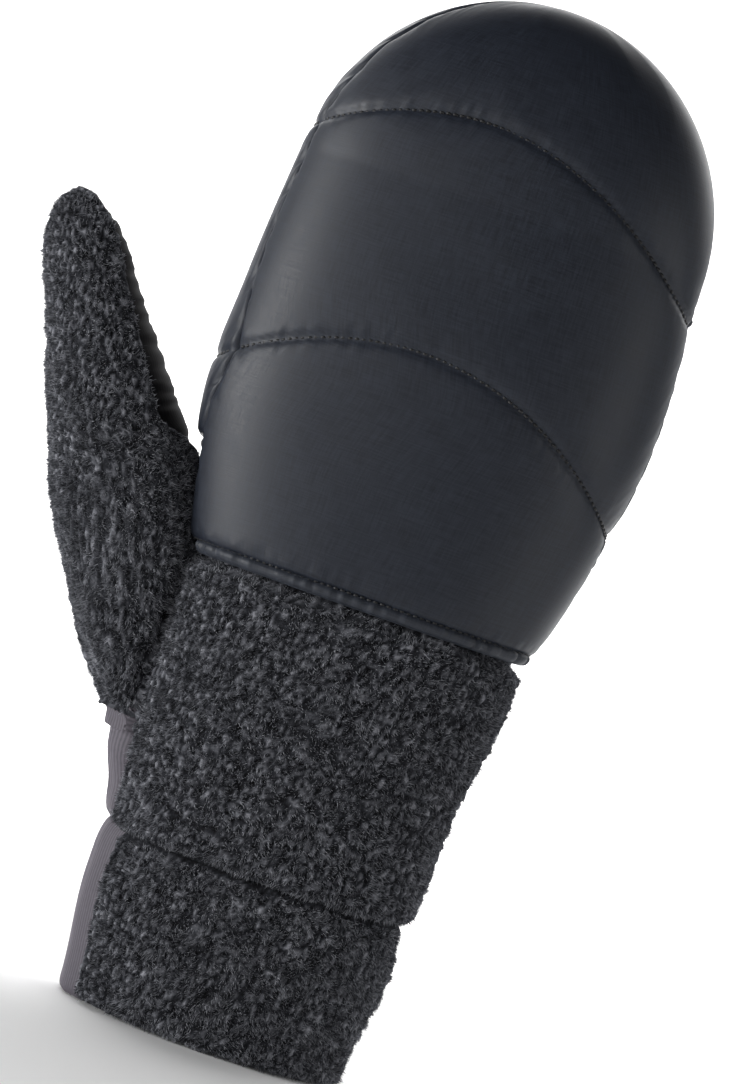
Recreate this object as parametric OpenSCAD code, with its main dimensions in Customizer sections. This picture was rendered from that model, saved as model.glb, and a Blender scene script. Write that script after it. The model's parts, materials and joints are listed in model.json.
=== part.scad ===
// Convertible flip-top mitten for the right hand: a fingerless fleece glove whose quilted
// hood covers the fingers and turns back over the back of the hand.
//
// Frame, in millimetres: the origin is the middle of the cuff's mouth, on the plane of its rim.
// +Z runs to the fingertips, +X to the little finger, -Y points out of the back of the hand.
// Angles round the hand run from the little-finger side (0) over the palm (90), the thumb
// side (180) and the back of the hand (270).

/* [Lengths] */
// From the cuff's rim to the seam at the wrist
cuff_l = 44; // [30:1:60]
// From the wrist seam to the hem of the quilted panel
hand_l = 70; // [58:1:86]
// From that hem to the line on which the hood turns
fixed_l = 20; // [16:1:26]
// From that line to the top of the lower quilting seam
lower_baffle_l = 44; // [36:1:54]
// Between the tops of the two quilting seams
middle_baffle_l = 60; // [48:1:72]
// From the upper quilting seam to the tip of the hood
tip_baffle_l = 34.5; // [28:0.5:42]
// Height of the hood's rounded end
dome_h = 55; // [44:1:66]
// From the turning line to the roots of the fingers
finger_root_l = 41; // [34:1:50]
// Finger stalls beyond the roots: index, middle, ring and little finger
stall_l = [26, 31, 28, 17];

/* [Widths] */
// Width of the cuff
cuff_w = 79; // [66:1:95]
// Depth of the cuff, from back to palm
cuff_t = 49; // [40:1:58]
// Width of the hand just above the wrist
wrist_w = 85; // [70:1:100]
// Width of the hand at the hem of the quilted panel
palm_w = 90.6; // [75:0.2:108]
// Depth of the hand at that hem
palm_t = 53; // [44:1:63]
// Width of the hood at its widest
hood_w = 111.4; // [96:0.2:134]
// Depth of the hood at its thickest
hood_t = 54; // [46:1:64]
// How much narrower the hood is on each side where its round end starts
tip_taper = 2.4; // [0:0.2:6]

/* [Thumb] */
// Length of the thumb along its own line
thumb_l = 116; // [98:1:140]
// Radius of the thumb at its thick end
thumb_r = 24; // [20:0.5:28]
// How far the radius falls for each millimetre of length
thumb_taper = 0.155; // [0.12:0.005:0.18]
// Length of the rounded thumb tip
thumb_dome_l = 25; // [20:1:30]
// Lean of the thumb away from the fingers, in degrees
thumb_lean = 29.5; // [24:0.5:35]
// Height of the thumb hole in the side of the hand
thumb_hole_l = 52; // [44:1:60]
// Turn of the thumb hole round the palm, in degrees
thumb_hole_turn = 54; // [45:1:62]

/* [Cloth] */
// Fleece with its pile
fleece_t = 4.5; // [3:0.1:6]
// Smooth stretch cloth of the palm
smooth_t = 2; // [1.2:0.1:2.6]
// Outer cloth of the quilted parts
shell_t = 0.8; // [0.5:0.1:1.2]
// Lining of the quilted parts
lining_t = 0.8; // [0.5:0.1:1.2]
// Whole wall of the quilted parts, where it is fullest
wall_t = 8; // [6:0.5:10]
// Wall of the quilted parts at a hem
hem_t = 3.2; // [2.6:0.1:4]
// How far a quilting seam sinks into the wall
quilt_sink = 3.6; // [2:0.2:4.4]
// Height of a stitched hem
hem_h = 3.2; // [2.4:0.2:5]
// Radius of the sewing thread
thread_r = 0.35; // [0.2:0.05:0.5]
// Wall of a finger stall
stall_t = 1.8; // [1.2:0.1:2.4]

/* [Fits] */
// Between the quilted parts and the hand under them
hood_gap = 0.7; // [0.4:0.1:1.5]
// Between two parts that are sewn edge to edge
seam_gap = 0.3; // [0.1:0.05:0.5]
// Between two plies that lie on each other
ply_gap = 0.1; // [0.05:0.05:0.2]
// Room beside the fingers in the hood
side_room = 7; // [5:0.5:10]
// Room over and under the fingers in the hood
depth_room = 5.6; // [4:0.2:8]

/* [Hidden] */

// Heights of the seams.
wrist_z = cuff_l;
hem_z = wrist_z + hand_l;
hinge_z = hem_z + fixed_l;
lower_quilt_z = hinge_z + lower_baffle_l;
upper_quilt_z = lower_quilt_z + middle_baffle_l;
tip_z = upper_quilt_z + tip_baffle_l;
dome_z = tip_z - dome_h;
web_z = hinge_z + finger_root_l;
corner_z = hinge_z + 5;      // where the hood's side seams end, at the corners of its mouth
mouth_dip = 11;              // how much lower the mouth runs over the middle of the palm
full_z = hinge_z + 38;       // where the hood reaches its full width

// Seam positions round the hand.
hood_seam = [192, 357];      // the quilted back lies between these angles
palm_turn = [hood_seam[1] - 360, hood_seam[0]];  // and the quilted palm face between these
hand_seam = [196, 356];      // and the hand's fleece back between these
cuff_seam = [211, 356];      // and the cuff's fleece back between these

// A section is an ellipse that is a little square: this is the power of its sine and cosine.
// It is squarer at the roots of the fingers, which lie side by side.
section_power = 0.91;
root_power = 0.62;

// The smooth cloth lies this much lower than the tips of the pile beside it.
pile_step = fleece_t - smooth_t;

// ---- Small helpers ----

function mix(a, b, t) = a + (b - a) * t;
function limit(t) = max(0, min(1, t));
function ease(t) = let (s = limit(t)) s * s * (3 - 2 * s);
function squared(c, power = section_power) = sign(c) * pow(abs(c), power);
function between(z, z0, z1) = limit((z - z0) / (z1 - z0));

// Points of a surface f(u, v), with u across and v up, as rows of columns.
function grid(f, columns, rows) =
    [for (j = [0:rows]) [for (i = [0:columns]) f(i / columns, j / rows)]];

function meet(p, q) = norm(p - q) < 0.001;

// The triangles of four-sided faces, without those that a pole closes up.
function triangles(points, quads) = [
    for (q = quads) for (t = [[q[0], q[1], q[2]], [q[0], q[2], q[3]]])
        if (!meet(points[t[0]], points[t[1]]) && !meet(points[t[1]], points[t[2]])
            && !meet(points[t[2]], points[t[0]])) t
];

// A closed solid between an outer and an inner grid of the same size. Where wrap is true,
// the last column joins the first, and the solid is a ring.
module ply(outer, inner, wrap = false) {
    rows = len(outer);
    columns = len(outer[0]);
    points = [for (g = [outer, inner]) for (row = g) for (p = row) p];
    last = wrap ? columns - 1 : columns - 2;
    function at(side, j, i) = (side * rows + j) * columns + i % columns;
    quads = concat(
        [for (j = [0:rows - 2]) for (i = [0:last])
            [at(0, j, i), at(0, j, i + 1), at(0, j + 1, i + 1), at(0, j + 1, i)]],
        [for (j = [0:rows - 2]) for (i = [0:last])
            [at(1, j, i), at(1, j + 1, i), at(1, j + 1, i + 1), at(1, j, i + 1)]],
        [for (i = [0:last]) [at(0, 0, i), at(1, 0, i), at(1, 0, i + 1), at(0, 0, i + 1)]],
        [for (i = [0:last])
            [at(0, rows - 1, i), at(0, rows - 1, i + 1), at(1, rows - 1, i + 1), at(1, rows - 1, i)]],
        wrap ? [] : [for (j = [0:rows - 2])
            [at(0, j, 0), at(0, j + 1, 0), at(1, j + 1, 0), at(1, j, 0)]],
        wrap ? [] : [for (j = [0:rows - 2])
            [at(0, j, columns - 1), at(1, j, columns - 1), at(1, j + 1, columns - 1), at(0, j + 1, columns - 1)]]
    );
    polyhedron(points = points, faces = triangles(points, quads), convexity = 8);
}

// The same, from two functions of u and v.
module skin(outer, inner, columns, rows) {
    ply(grid(outer, columns, rows), grid(inner, columns, rows));
}

// A thin round line through a list of points.
module thread_line(path) {
    sides = 6;
    last = len(path) - 1;
    rings = [for (i = [0:last]) let (
        along = path[min(last, i + 1)] - path[max(0, i - 1)],
        up = cross(along, [0, 0, 1]),
        a = up / norm(up),
        b = cross(a, along / norm(along)))
        [for (k = [0:sides - 1]) path[i] + thread_r * (a * cos(360 * k / sides) + b * sin(360 * k / sides))]];
    points = [for (ring = rings) for (p = ring) p];
    function at(i, k) = i * sides + k % sides;
    polyhedron(points = points, convexity = 4, faces = concat(
        [[for (k = [0:sides - 1]) k], [for (k = [sides - 1:-1:0]) at(last, k)]],
        triangles(points, [for (i = [0:last - 1]) for (k = [0:sides - 1])
            [at(i, k), at(i + 1, k), at(i + 1, k + 1), at(i, k + 1)]])));
}

// ---- The outline of the quilted parts ----

function hood_half_w(z) = z < full_z
    ? mix(palm_w / 2 - 0.3, hood_w / 2, sin(90 * between(z, hem_z, full_z)))
    : hood_w / 2 - tip_taper * (1 - cos(90 * between(z, full_z, dome_z)));
function hood_half_t(z) = z < full_z
    ? mix(palm_t / 2, hood_t / 2, ease(between(z, hem_z, full_z)))
    : hood_t / 2 - tip_taper * (1 - cos(90 * between(z, full_z, dome_z)));

// The fingertips' end sits this much to the little finger's side of the hand.
hood_shift = 1.7;

// The seam on the thumb's side swings towards the back by so many degrees: above the hem,
// where the palm face rolls over the side of the hand, and again at the fingertips.
swing_root = 3.5;
swing_roll = 9;
swing_roll_z = hinge_z + 32;
swing_tip = 5;
function seam_swing(z) = swing_root * ease(between(z, hem_z + 4, hinge_z + 4))
    + swing_roll * exp(-pow((z - swing_roll_z) / 15, 2))
    + swing_tip * ease(between(z, upper_quilt_z - 13, upper_quilt_z + 7));
function swung(a, z) = a + seam_swing(z) * limit(a < hood_seam[0]
    ? (a - palm_turn[0]) / (hood_seam[0] - palm_turn[0])
    : (hood_seam[1] - a) / (hood_seam[1] - hood_seam[0]));

// A point of the hood at angle a and height z, at depth d under its outer face. Above dome_z
// the section shrinks along a quarter of an ellipse, and all depths keep their wall there.
function hood_point(a, z, d) =
    let (over = between(z, dome_z, tip_z),
         round = sqrt(max(0, 1 - over * over)),
         x = hood_shift * ease(between(z, hinge_z + 14, full_z + 12))
             + (hood_half_w(min(z, dome_z)) - d) * round * squared(cos(a)),
         y = (hood_half_t(min(z, dome_z)) - d) * round * squared(sin(a)))
    [x, y, z <= dome_z ? z : dome_z + over * (dome_h - d)];

// The quilting seams are arcs that fall away to both sides of a point near the index finger.
function lower_quilt(a) = lower_quilt_z - 0.0068 * pow(hood_w / 2 * squared(cos(a)) + 7, 2);
function upper_quilt(a) = upper_quilt_z - 0.0064 * pow(hood_w / 2 * squared(cos(a)) + 12, 2);
function mouth(a) = corner_z - mouth_dip * pow(max(0, sin(a)), 2);

// The wall is thin at an edge and full a little way from it.
edge_run = 26;
function wall_from(z, edge) = mix(hem_t, wall_t, ease((z - edge) / edge_run));

// How far the outer cloth sinks towards a seam: f is 0 at one seam and 1 at the next.
function sink(f) = quilt_sink * (1 - sqrt(max(0, 4 * f * (1 - f))));

// The quilting is pulled less at the sides, where it runs out into the seam of the outline.
function side_share(a) = 1 - 0.6 * pow(abs(cos(a)), 6);

// Rows of a quilted face: [baffle, share of its height], closer together near the seams.
seam_rows = [0, 0.08, 0.25, 0.5, 0.75, 0.92];
quilt_rows = concat(
    [for (f = seam_rows) [0, f]],
    [for (f = seam_rows) [1, f]],
    [for (f = [0, 0.06, 0.16, 0.3, 0.45, 0.6, 0.74, 0.86, 0.95, 1]) [2, f]]
);

// Height of a row at angle a, on a face that starts at the height edge.
function row_z(row, a, edge) =
    row[0] == 0 ? mix(edge, lower_quilt(a), row[1])
    : row[0] == 1 ? mix(lower_quilt(a), upper_quilt(a), row[1])
    : mix(upper_quilt(a), tip_z, sin(90 * row[1]));

// Depth of the outer cloth on that row: root is where the lower baffle begins.
function row_sink(row, z, a, root) =
    row[0] == 0 ? sink(between(z, root, lower_quilt(a))) * between(z, root, lower_quilt(a))
    : row[0] == 1 ? sink(row[1])
    : row[1] < 0.5 ? sink(row[1]) : 0;

quilt_columns = 16;

// A grid of a quilted face from angle a0 to a1. edge gives the height where the face starts
// and root the height where its lower baffle does. ply_depth takes the depths of the outer
// cloth's face and of the lining's inner face, and gives the depth wanted.
function quilted(a0, a1, edge, root, wall_edge, ply_depth) = [
    for (row = quilt_rows) [
        for (i = [0:quilt_columns]) let (
            across = mix(a0, a1, i / quilt_columns),
            a = swung(across, row_z(row, across, edge(across))),
            z = row_z(row, a, edge(a)),
            top = row_sink(row, z, a, root(a)) * side_share(a),
            bottom = wall_from(z, wall_edge(a)))
        hood_point(a, z, ply_depth(min(top, bottom - hem_t + ply_gap), bottom))]
];

// Depths of the faces of the three plies, from the depth of the outer face and of the inner one.
shell_out = function(top, bottom) top;
shell_in = function(top, bottom) top + shell_t;
wadding_out = function(top, bottom) top + shell_t + ply_gap;
wadding_in = function(top, bottom) bottom - lining_t - ply_gap;
lining_out = function(top, bottom) bottom - lining_t;
lining_in = function(top, bottom) bottom;

// ---- The quilted back: a fixed part over the knuckles, and the hood above it ----

hinge_edge = function(a) hinge_z + seam_gap;
hem_line = function(a) hem_z;
module hood_back(out, in) {
    ply(quilted(hood_seam[0], hood_seam[1], hinge_edge, hem_line, hem_line, out),
        quilted(hood_seam[0], hood_seam[1], hinge_edge, hem_line, hem_line, in));
}
module hood_back_shell() { color("#303137") hood_back(shell_out, shell_in); }
module hood_back_wadding() { color("#e9e9e4") hood_back(wadding_out, wadding_in); }
module hood_back_lining() { color("#2b2b2f") hood_back(lining_out, lining_in); }

// One ply of the fixed part, between the hem and the turning line.
module knuckle(out, in) {
    rows = 4;
    function at(u, v, depth) = let (
        z = mix(hem_z + hem_h + seam_gap, hinge_z - seam_gap, v),
        a = swung(mix(hood_seam[0], hood_seam[1], u), z),
        bottom = wall_from(z, hem_z),
        top = min(quilt_sink * pow(1 - between(z, hem_z, hinge_z), 4), bottom - hem_t + ply_gap))
        hood_point(a, z, depth(top, bottom));
    skin(function(u, v) at(u, v, out), function(u, v) at(u, v, in), quilt_columns, rows);
}
module knuckle_shell() { color("#303137") knuckle(shell_out, shell_in); }
module knuckle_wadding() { color("#e9e9e4") knuckle(wadding_out, wadding_in); }
module knuckle_lining() { color("#2b2b2f") knuckle(lining_out, lining_in); }

// The turned hem below the knuckles, and the row of stitches just above it.
module knuckle_hem() {
    function at(u, v, d) = hood_point(mix(hood_seam[0], hood_seam[1], u), mix(hem_z, hem_z + hem_h, v), d);
    color("#34353b")
        skin(function(u, v) at(u, v, 0.7 - 0.7 * sin(180 * v)), function(u, v) at(u, v, hem_t), 24, 4);
}
function surface_line(from, to, count, height, depth) =
    [for (i = [0:count]) let (a = mix(from, to, i / count)) hood_point(a, height(a), depth(a))];
thread_lift = thread_r + ply_gap;
module knuckle_hem_thread() {
    color("#17171a") thread_line(surface_line(hood_seam[0] + 6, hood_seam[1] - 2, 24,
        function(a) hem_z + hem_h + thread_r + seam_gap / 2, function(a) -thread_lift));
}

// ---- The hood's palm face ----

mouth_edge = function(a) mouth(a) + hem_h + seam_gap;
mouth_line = function(a) mouth(a);
module hood_palm(out, in) {
    ply(quilted(palm_turn[0] + 0.3, palm_turn[1] - 0.3, mouth_edge, mouth_line, mouth_line, out),
        quilted(palm_turn[0] + 0.3, palm_turn[1] - 0.3, mouth_edge, mouth_line, mouth_line, in));
}
module hood_palm_shell() { color("#2c2d33") hood_palm(shell_out, shell_in); }
module hood_palm_wadding() { color("#e9e9e4") hood_palm(wadding_out, wadding_in); }
module hood_palm_lining() { color("#2b2b2f") hood_palm(lining_out, lining_in); }

// The bound edge of the mouth, and the elastic inside the hood behind it.
module mouth_binding() {
    function at(u, v, d) = let (a = swung(mix(palm_turn[0] + 1, palm_turn[1] - 1, u), corner_z))
        hood_point(a, mouth(a) + hem_h * v, d);
    color("#34353b")
        skin(function(u, v) at(u, v, 0.6 - 0.6 * sin(180 * v)), function(u, v) at(u, v, hem_t), 24, 4);
}
elastic_t = 0.7;
elastic_h = 6;
elastic_gap = 0.5;
module mouth_elastic() {
    function at(u, v, d) = let (a = mix(palm_turn[0] + 4, palm_turn[1] - 4, u),
        z = mouth(a) + hem_h + seam_gap + elastic_h * v)
        hood_point(a, z, wall_from(z, mouth(a)) + elastic_gap + d);
    color("#1f1f22") skin(function(u, v) at(u, v, 0), function(u, v) at(u, v, elastic_t), 24, 1);
}

// ---- The quilting threads, which lie in the seams ----

module quilt_thread(turn, seam) {
    path = [for (i = [0:24]) let (
        across = mix(turn[0] + 2, turn[1] - 2, i / 24),
        a = swung(across, seam(across)))
        hood_point(a, seam(a), quilt_sink * side_share(a) - thread_lift)];
    color("#141417") thread_line(path);
}
lower_seam = function(a) lower_quilt(a);
upper_seam = function(a) upper_quilt(a);
module lower_quilt_thread() { quilt_thread(hood_seam, lower_seam); }
module upper_quilt_thread() { quilt_thread(hood_seam, upper_seam); }
module palm_lower_quilt_thread() { quilt_thread(palm_turn, lower_seam); }
module palm_upper_quilt_thread() { quilt_thread(palm_turn, upper_seam); }

// ---- The hand ----

// The pile is pressed down under the edge of the quilted panel.
press_z = [hem_z - 3.6, hem_z - 0.3];
waist_z = wrist_z + hand_l * 0.45;
root_share = function(z) ease(between(z, hinge_z, web_z));
function bare_half_w(z) = z < waist_z ? wrist_w / 2
    : mix(wrist_w / 2, palm_w / 2, sin(90 * between(z, waist_z, hem_z)));
function bare_half_t(z) = mix(cuff_t / 2 + 0.8, palm_t / 2 - 0.3, sin(90 * between(z, wrist_z, waist_z)));
function covered_half_w(z) =
    hood_half_w(z) - wall_from(z, hem_z) - hood_gap - side_room * root_share(z);
function covered_half_t(z) =
    hood_half_t(z) - wall_from(z, hem_z) - hood_gap - depth_room * root_share(z);
function pressed(z) = ease(between(z, press_z[0], press_z[1]));
function hand_half_w(z) = z < press_z[0] ? bare_half_w(z)
    : mix(bare_half_w(min(z, hem_z)), covered_half_w(max(z, hem_z)), pressed(z));
function hand_half_t(z) = z < press_z[0] ? bare_half_t(z)
    : mix(bare_half_t(min(z, hem_z)), covered_half_t(max(z, hem_z)), pressed(z));

// The wrist sits a little to the thumb's side of the fingers.
wrist_shift = 1.8;
function middle_x(z) = -wrist_shift * (1 - ease(between(z, wrist_z + 15, hem_z - 8)));

// The thumb's base stands out by this much beside the palm.
base_bulge = 5.8;
base_bulge_h = 18;
function thumb_base(a, z) = base_bulge * exp(-pow((z - wrist_z - 26) / base_bulge_h, 2))
    * ease((a - 100) / 60) * ease((hand_seam[0] + 3 - a) / 16);

function hand_point(a, z, d) =
    let (power = mix(section_power, root_power, root_share(z)))
    [middle_x(z) - thumb_base(a, z) + (hand_half_w(z) - d) * squared(cos(a), power),
     (hand_half_t(z) - d) * squared(sin(a), power),
     z];

// Rows of a hand panel: even below the hem, closer where the pile is pressed down.
hand_rows = concat(
    [for (j = [0:6]) mix(wrist_z + seam_gap, press_z[0], j / 6)],
    [for (j = [1:2]) mix(press_z[0], press_z[1], j / 2)],
    [for (j = [1:5]) mix(press_z[1], web_z, j / 5)]
);

// The thumb hole: straight along the back panel's edge, and an arc into the palm.
hole_z = wrist_z + 22 + thumb_hole_l / 2;
function hole_turn(z) = thumb_hole_turn * sqrt(max(0, 1 - pow((z - hole_z) / (thumb_hole_l / 2), 2)));

hand_columns = 14;
module hand_back_panel() {
    function at(d) = [for (z = hand_rows) [for (i = [0:hand_columns])
        hand_point(mix(hand_seam[0], hand_seam[1], i / hand_columns), z, d)]];
    color("#46484d") ply(at(0), at(fleece_t));
}

// Rows of the palm: those of the hand, with more round the thumb hole's arc.
palm_rows = concat(
    [wrist_z + seam_gap, hole_z - thumb_hole_l / 2],
    [for (s = [-0.97, -0.85, -0.6, -0.3, 0, 0.3, 0.6, 0.85, 0.97]) hole_z + s * thumb_hole_l / 2],
    [for (j = [0:4]) mix(max(press_z[1], hole_z + thumb_hole_l / 2), web_z, j / 4)]
);
module hand_palm_panel() {
    function at(d) = [for (z = palm_rows) [for (i = [0:hand_columns])
        let (edge = hand_seam[0] - 0.5 - hole_turn(z))
        hand_point(mix(hand_seam[1] - 360 + 0.5, edge, i / hand_columns), z, d)]];
    color("#3c3b41") ply(at(pile_step), at(fleece_t));
}

// ---- The thumb ----

thumb_root = [-wrist_w / 2 - 2.4, 4, hole_z - 2.4];
thumb_axis = [-sin(thumb_lean), 0.03, cos(thumb_lean)];
thumb_side = [cos(thumb_lean), 0, sin(thumb_lean)];
thumb_blend_l = 45;
thumb_lift = 0.4;

// Near its root the thumb reaches less far on the fingers' side, where it meets the hand.
root_reach = 0.42;
function thumb_reach(f, s) = sin(f) > 0 ? mix(root_reach, 1, ease(s / 52)) : 1;

// Where the thumb meets the hand: f is 0 at the back, 90 towards the fingers, 180 at the palm.
function thumb_foot(f, d) =
    let (z = hole_z + (thumb_hole_l / 2 - d) * sin(f),
         turn = hand_seam[0] - 0.6 + min(0, thumb_hole_turn * cos(f)),
         inward = -57 * cos(f) * d / hand_half_t(z))
    hand_point(turn + inward, z, -thumb_lift);

function thumb_radius(s) = let (over = between(s, thumb_l - thumb_dome_l, thumb_l))
    (thumb_r - thumb_taper * max(0, min(s, thumb_l - thumb_dome_l) - 20)) * sqrt(max(0, 1 - over * over));

// A point of the thumb at share s of its length and angle f, at depth d under its outer face.
function thumb_point(f, share, d) =
    let (s = share * (thumb_l - (share > 0.9 ? d * (share - 0.9) * 10 : 0)),
         r = max(0, thumb_radius(share * thumb_l) - d * min(1, thumb_radius(share * thumb_l) / 8)),
         tube = thumb_root + s * thumb_axis
             + r * (sin(f) * thumb_reach(f, s) * thumb_side + cos(f) * [0, -0.95, 0]))
    mix(thumb_foot(f, d), tube, ease(s / thumb_blend_l));

thumb_shares = [0, 0.07, 0.14, 0.22, 0.31, 0.4, 0.5, 0.6, 0.7, 0.79, 0.85, 0.9, 0.94, 0.97, 0.99, 1];
// The seam on the finger side runs down the thumb and turns to the crotch at its foot.
function thumb_seam(share) = mix(82, 45, ease((share * thumb_l - 40) / 15))
    + 12 * ease(between(share * thumb_l, thumb_l - 51, thumb_l - 11));
thumb_back_turn = 217;
thumb_columns = 12;
module thumb_back_panel() {
    function at(d) = [for (v = thumb_shares) [for (i = [0:thumb_columns])
        thumb_point(mix(thumb_back_turn, thumb_seam(v) + 360, i / thumb_columns), v, d)]];
    color("#46484d") ply(at(0), at(fleece_t));
}
module thumb_palm_panel() {
    function at(d) = [for (v = thumb_shares) [for (i = [0:thumb_columns])
        thumb_point(mix(thumb_seam(v) + 0.8, thumb_back_turn - 0.8, i / thumb_columns), v, d)]];
    color("#2e2d32") ply(at(pile_step), at(fleece_t));
}

// ---- The cuff ----

// The smooth cloth stands out beside the pile on the thumb's side.
cuff_bulge = 2.4;
function cuff_side(a) = cuff_bulge * ease((a - 110) / 50) * ease((cuff_seam[0] + 3 - a) / 20);

function cuff_point(a, z, d) = [
    -wrist_shift - cuff_side(a) + (mix(cuff_w / 2 - 2, cuff_w / 2 + 1, ease(z / (cuff_l * 0.7))) - d) * squared(cos(a)),
    (cuff_t / 2 - 0.8 + 0.8 * sin(180 * z / cuff_l) - d) * squared(sin(a)),
    z
];
cuff_top = wrist_z - seam_gap;
module cuff_face(a0, a1, out, in) {
    function at(u, v, d) = cuff_point(mix(a0, a1, u), cuff_top * v, d);
    skin(function(u, v) at(u, v, out), function(u, v) at(u, v, in), 14, 5);
}
module cuff_back_panel() { color("#46484d") cuff_face(cuff_seam[0], cuff_seam[1], 0, fleece_t); }
module cuff_palm_panel() {
    color("#49484e") cuff_face(cuff_seam[1] - 360 + 0.5, cuff_seam[0] - 0.5, pile_step, fleece_t);
}
// The facing is turned up inside the rim, and starts a little above it.
facing_h = 20;
facing_t = 1;
module cuff_facing() {
    sides = 28;
    function at(d) = [for (z = [1, facing_h / 2, facing_h]) [for (i = [0:sides - 1])
        cuff_point(360 * i / sides, z, fleece_t + ply_gap + 0.15 + d)]];
    color("#3c3b41") ply(at(0), at(facing_t), wrap = true);
}
// The wrist elastic draws in the palm side, inside the seam.
wrist_elastic_h = 8;
module wrist_elastic() {
    function at(u, v, d) = cuff_point(mix(5, 190, u), wrist_z - wrist_elastic_h - 1 + wrist_elastic_h * v,
        fleece_t + ply_gap + 0.15 + d);
    color("#1f1f22") skin(function(u, v) at(u, v, 0), function(u, v) at(u, v, 1), 16, 1);
}

// ---- The finger stalls ----

stall_pitch = hand_half_w(web_z) / 2;
stall_half_w = stall_pitch / 2 - seam_gap / 2;
function stall_half_t(n) = hand_half_t(web_z) - (n == 0 || n == 3 ? 2.2 : 0.4);
stall_narrowing = 0.8;
fourchette_t = 2;
stall_hem_h = 4;
stall_hem_t = 0.5;
stall_base = web_z + seam_gap + fourchette_t + seam_gap;
function stall_x(n) = (n - 1.5) * stall_pitch;
function stall_top(n) = web_z + stall_l[n];
function oval(x, half_w, half_t, sides) = [for (i = [0:sides - 1]) let (a = 360 * i / sides)
    [x + half_w * squared(squared(cos(a))), half_t * squared(squared(sin(a)))]];
stall_sides = 20;
function stall_ring(n, z, d) = let (slim = stall_narrowing * between(z, stall_base, stall_top(n)))
    [for (p = oval(stall_x(n), stall_half_w - slim - d, stall_half_t(n) - slim - d, stall_sides)) [p[0], p[1], z]];
module stall(n) {
    heights = [for (v = [0:3]) mix(stall_base, stall_top(n), v / 3)];
    color("#3a3b40") ply([for (z = heights) stall_ring(n, z, 0)],
        [for (z = heights) stall_ring(n, z, stall_t)], wrap = true);
}
module stall_hem(n) {
    heights = [stall_top(n) - stall_hem_h, stall_top(n)];
    color("#2e2d32") ply([for (z = heights) stall_ring(n, z, -ply_gap - stall_hem_t)],
        [for (z = heights) stall_ring(n, z, -ply_gap)], wrap = true);
}
// The fourchettes close the hand between the stalls.
module finger_fourchettes() {
    color("#2e2d32") translate([0, 0, web_z + seam_gap]) linear_extrude(fourchette_t) difference() {
        polygon([for (i = [0:39]) let (p = hand_point(9 * i, web_z, 0)) [p[0], p[1]]]);
        for (n = [0:3]) polygon(oval(stall_x(n), stall_half_w - stall_t, stall_half_t(n) - stall_t, stall_sides));
    }
}
module index_finger_stall() { stall(0); }
module middle_finger_stall() { stall(1); }
module ring_finger_stall() { stall(2); }
module little_finger_stall() { stall(3); }
module index_finger_hem() { stall_hem(0); }
module middle_finger_hem() { stall_hem(1); }
module ring_finger_hem() { stall_hem(2); }
module little_finger_hem() { stall_hem(3); }

hand_back_panel();
hand_palm_panel();
thumb_back_panel();
thumb_palm_panel();
cuff_back_panel();
cuff_palm_panel();
cuff_facing();
wrist_elastic();
finger_fourchettes();
index_finger_stall();
middle_finger_stall();
ring_finger_stall();
little_finger_stall();
index_finger_hem();
middle_finger_hem();
ring_finger_hem();
little_finger_hem();
knuckle_shell();
knuckle_wadding();
knuckle_lining();
knuckle_hem();
knuckle_hem_thread();
hood_back_shell();
hood_back_wadding();
hood_back_lining();
hood_palm_shell();
hood_palm_wadding();
hood_palm_lining();
lower_quilt_thread();
upper_quilt_thread();
palm_lower_quilt_thread();
palm_upper_quilt_thread();
mouth_binding();
mouth_elastic();
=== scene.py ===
# %% [markdown]
# # A convertible flip-top mitten
# The object is one right-hand mitten: a fingerless fleece glove with a full thumb, and a quilted
# hood that covers the fingers or turns back over the hand. This notebook dresses the CAD frame:
# every soft CAD solid is replaced by a cloth surface worked out in the same coordinates.
# The frame is loaded first, because all heights and widths below are read from it.

# %% Load the frame
import json
import math

import bmesh
import bpy
import numpy as np
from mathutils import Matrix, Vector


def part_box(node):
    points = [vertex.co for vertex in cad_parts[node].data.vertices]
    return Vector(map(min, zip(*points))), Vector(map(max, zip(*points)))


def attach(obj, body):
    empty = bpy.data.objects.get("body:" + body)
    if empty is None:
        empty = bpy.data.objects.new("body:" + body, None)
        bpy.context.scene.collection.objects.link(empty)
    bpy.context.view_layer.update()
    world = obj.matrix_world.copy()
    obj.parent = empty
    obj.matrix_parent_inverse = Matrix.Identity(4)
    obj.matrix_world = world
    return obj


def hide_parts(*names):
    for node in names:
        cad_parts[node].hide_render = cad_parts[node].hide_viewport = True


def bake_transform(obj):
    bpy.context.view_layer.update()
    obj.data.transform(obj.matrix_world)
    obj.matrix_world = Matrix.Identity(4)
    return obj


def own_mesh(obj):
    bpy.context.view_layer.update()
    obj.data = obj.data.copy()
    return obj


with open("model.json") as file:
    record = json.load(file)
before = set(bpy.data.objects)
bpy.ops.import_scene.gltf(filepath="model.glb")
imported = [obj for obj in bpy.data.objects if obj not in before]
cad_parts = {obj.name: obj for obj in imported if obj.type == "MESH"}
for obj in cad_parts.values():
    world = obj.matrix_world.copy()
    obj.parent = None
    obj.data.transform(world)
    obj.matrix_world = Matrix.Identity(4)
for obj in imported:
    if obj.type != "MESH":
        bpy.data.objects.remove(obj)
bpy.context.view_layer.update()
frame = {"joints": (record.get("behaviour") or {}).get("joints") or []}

# %% [markdown]
# ## Sizes
# A maker writes down the few heights at which the mitten changes: the wrist seam, the hem of the
# quilted panel, the line on which the hood turns, the finger roots and the tip. They could be
# typed in, but reading them from the CAD nodes keeps the cloth on the frame. Lengths are metres.

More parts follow.
